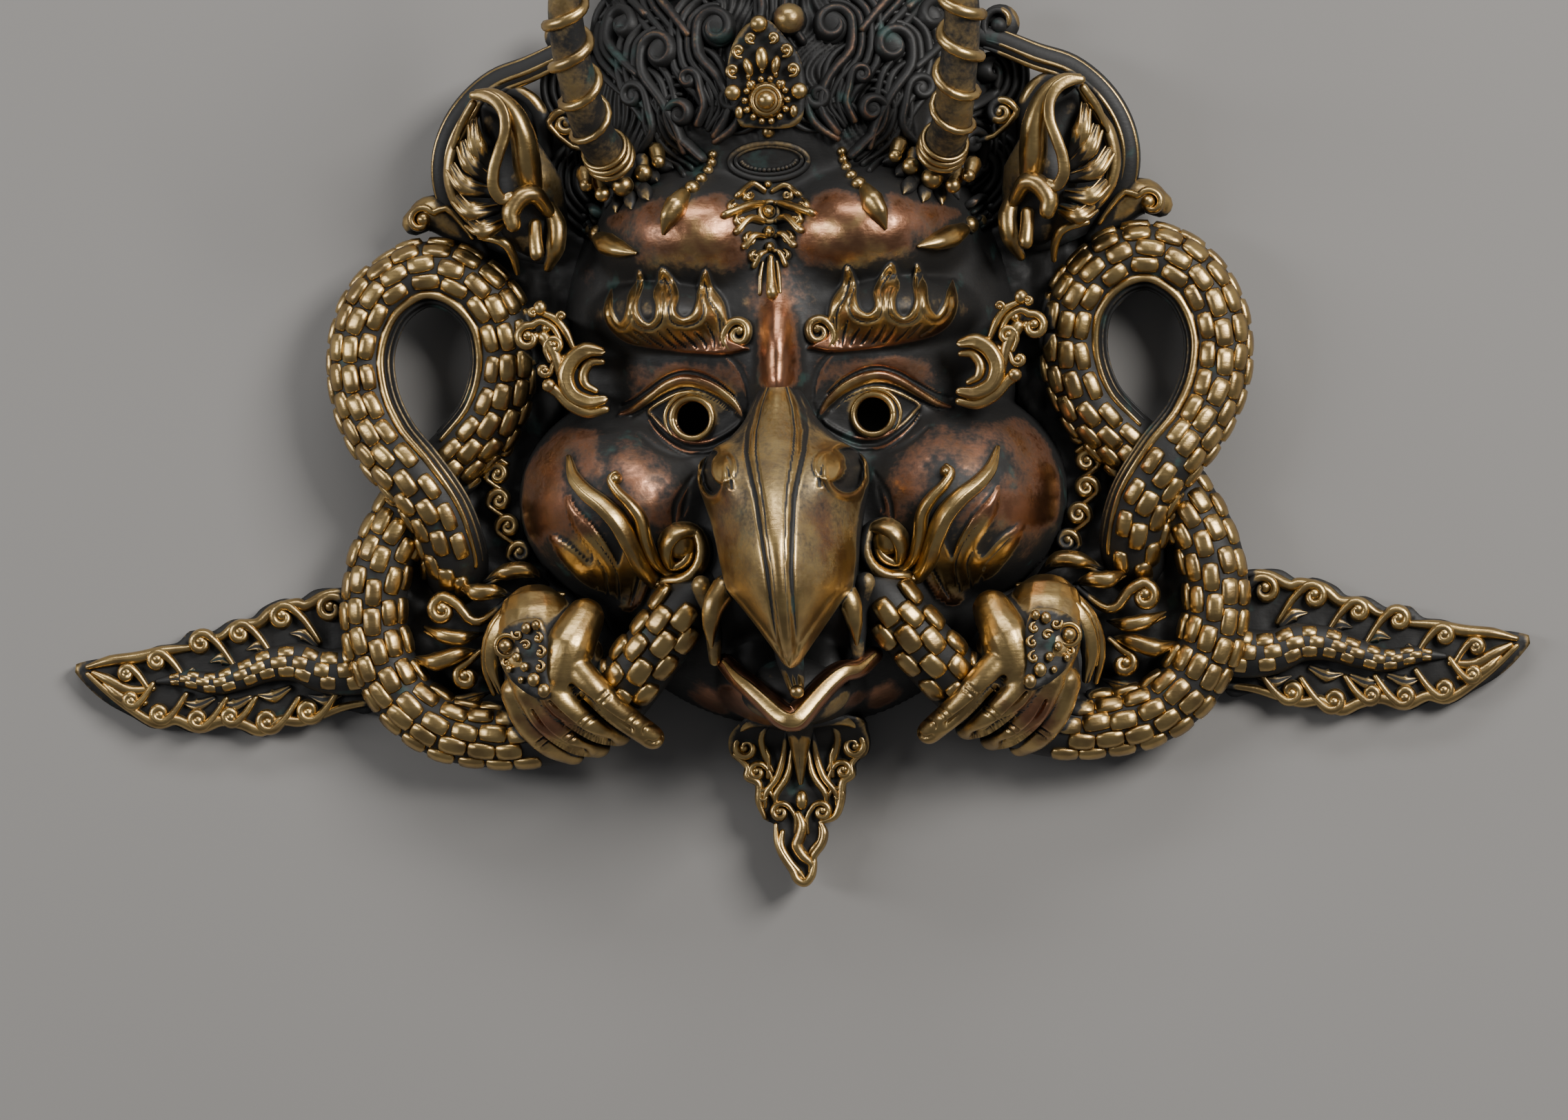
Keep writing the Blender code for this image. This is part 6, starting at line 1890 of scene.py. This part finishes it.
@dataclass
class Studio:
    """Pale floor, soft lights and the photograph's camera."""

    floor_size: float = 3.2
    clearance: float = 0.0002
    floor_colour: Colour = (0.258, 0.248, 0.237)

    def floor(self) -> None:
        """Plain pale floor under the mask."""
        shape = bmesh.new()
        bmesh.ops.create_grid(shape, x_segments=8, y_segments=8, size=self.floor_size / 2.0)
        data = bpy.data.meshes.new("floor")
        shape.to_mesh(data)
        shape.free()
        floor = add_object("floor", data)
        floor.location.z = -self.clearance
        nodes = Nodes("floor paper")
        dark = tuple(value * 0.95 for value in self.floor_colour)
        data.materials.append(nodes.dress(
            Base_Color=nodes.mix(nodes.noise(6, 6), self.floor_colour, dark), Roughness=0.85))

    def light(self, name: str, place: tuple[float, float, float], size: tuple[float, float],
              power: float, colour: Colour = (1.0, 1.0, 1.0)) -> None:
        """Soft rectangular light that faces the mask."""
        data = bpy.data.lights.new(name, "AREA")
        data.shape = "RECTANGLE"
        data.size, data.size_y = size
        data.energy = power
        data.color = colour
        lamp = add_object(name, data)
        lamp.location = place
        lamp.rotation_euler = (-Vector(place)).to_track_quat("-Z", "Y").to_euler()

    def camera(self) -> None:
        """Camera at the photograph's place."""
        data = bpy.data.cameras.new("camera")
        camera = add_object("camera", data)
        turn, roll = math.radians(SIGHT.turn), math.radians(SIGHT.roll)
        target = Vector((SIGHT.aim_x, SIGHT.aim_y - MIDDLE_Y, 0.0)) * MM
        back = Vector((math.sin(turn), 0.0, math.cos(turn)))
        place = target + back * SIGHT.distance * MM
        right = Vector((math.sin(roll), math.cos(roll), 0.0)).cross(back).normalized()
        axes = Matrix((right, back.cross(right), back)).transposed().to_4x4()
        camera.matrix_world = Matrix.Translation(place) @ axes
        data.sensor_width = 36.0
        data.lens = data.sensor_width * SIGHT.distance / SIGHT.seen_width
        data.clip_end = 20.0
        bpy.context.scene.camera = camera

    def build(self) -> None:
        """Set the stage."""
        self.floor()
        self.light("key from the upper right", (1.5, 0.9, 1.7), (0.8, 1.1), 64.0, (1.0, 0.98, 0.95))
        self.light("fill from the left", (-1.7, 0.3, 1.2), (0.45, 1.5), 20.0)
        self.light("top", (0.0, 1.9, 1.2), (1.8, 0.4), 22.0)
        world = bpy.data.worlds.new("studio")
        world.use_nodes = True
        backdrop = world.node_tree.nodes["Background"]
        backdrop.inputs["Color"].default_value = (0.80, 0.82, 0.86, 1)
        backdrop.inputs["Strength"].default_value = 0.17
        bpy.context.scene.world = world
        bpy.context.scene.view_settings.view_transform = "AgX"
        self.camera()


def main() -> None:
    """Build every piece of the mask, dress them and set the stage."""
    logging.basicConfig(level=logging.INFO, format="%(name)s: %(message)s")
    pieces = []
    builders = (Head(), Eyes(), Beak(), Mouth(), Cheeks(), Serpents(), Tails(), Hands(), Cuffs(),
                SidePlates(), TempleOrnaments(), Ears(), Horns(), Hair(), Jewels(), ChinLeaf())
    for builder in builders:
        made = builder.build()
        pieces.extend(made if isinstance(made, list) else [made])
    Wear().dress(pieces)
    Studio().build()
    LOG.info("%d pieces, %d faces", len(pieces), sum(len(piece.data.polygons) for piece in pieces))


if __name__ == "__main__":
    main()
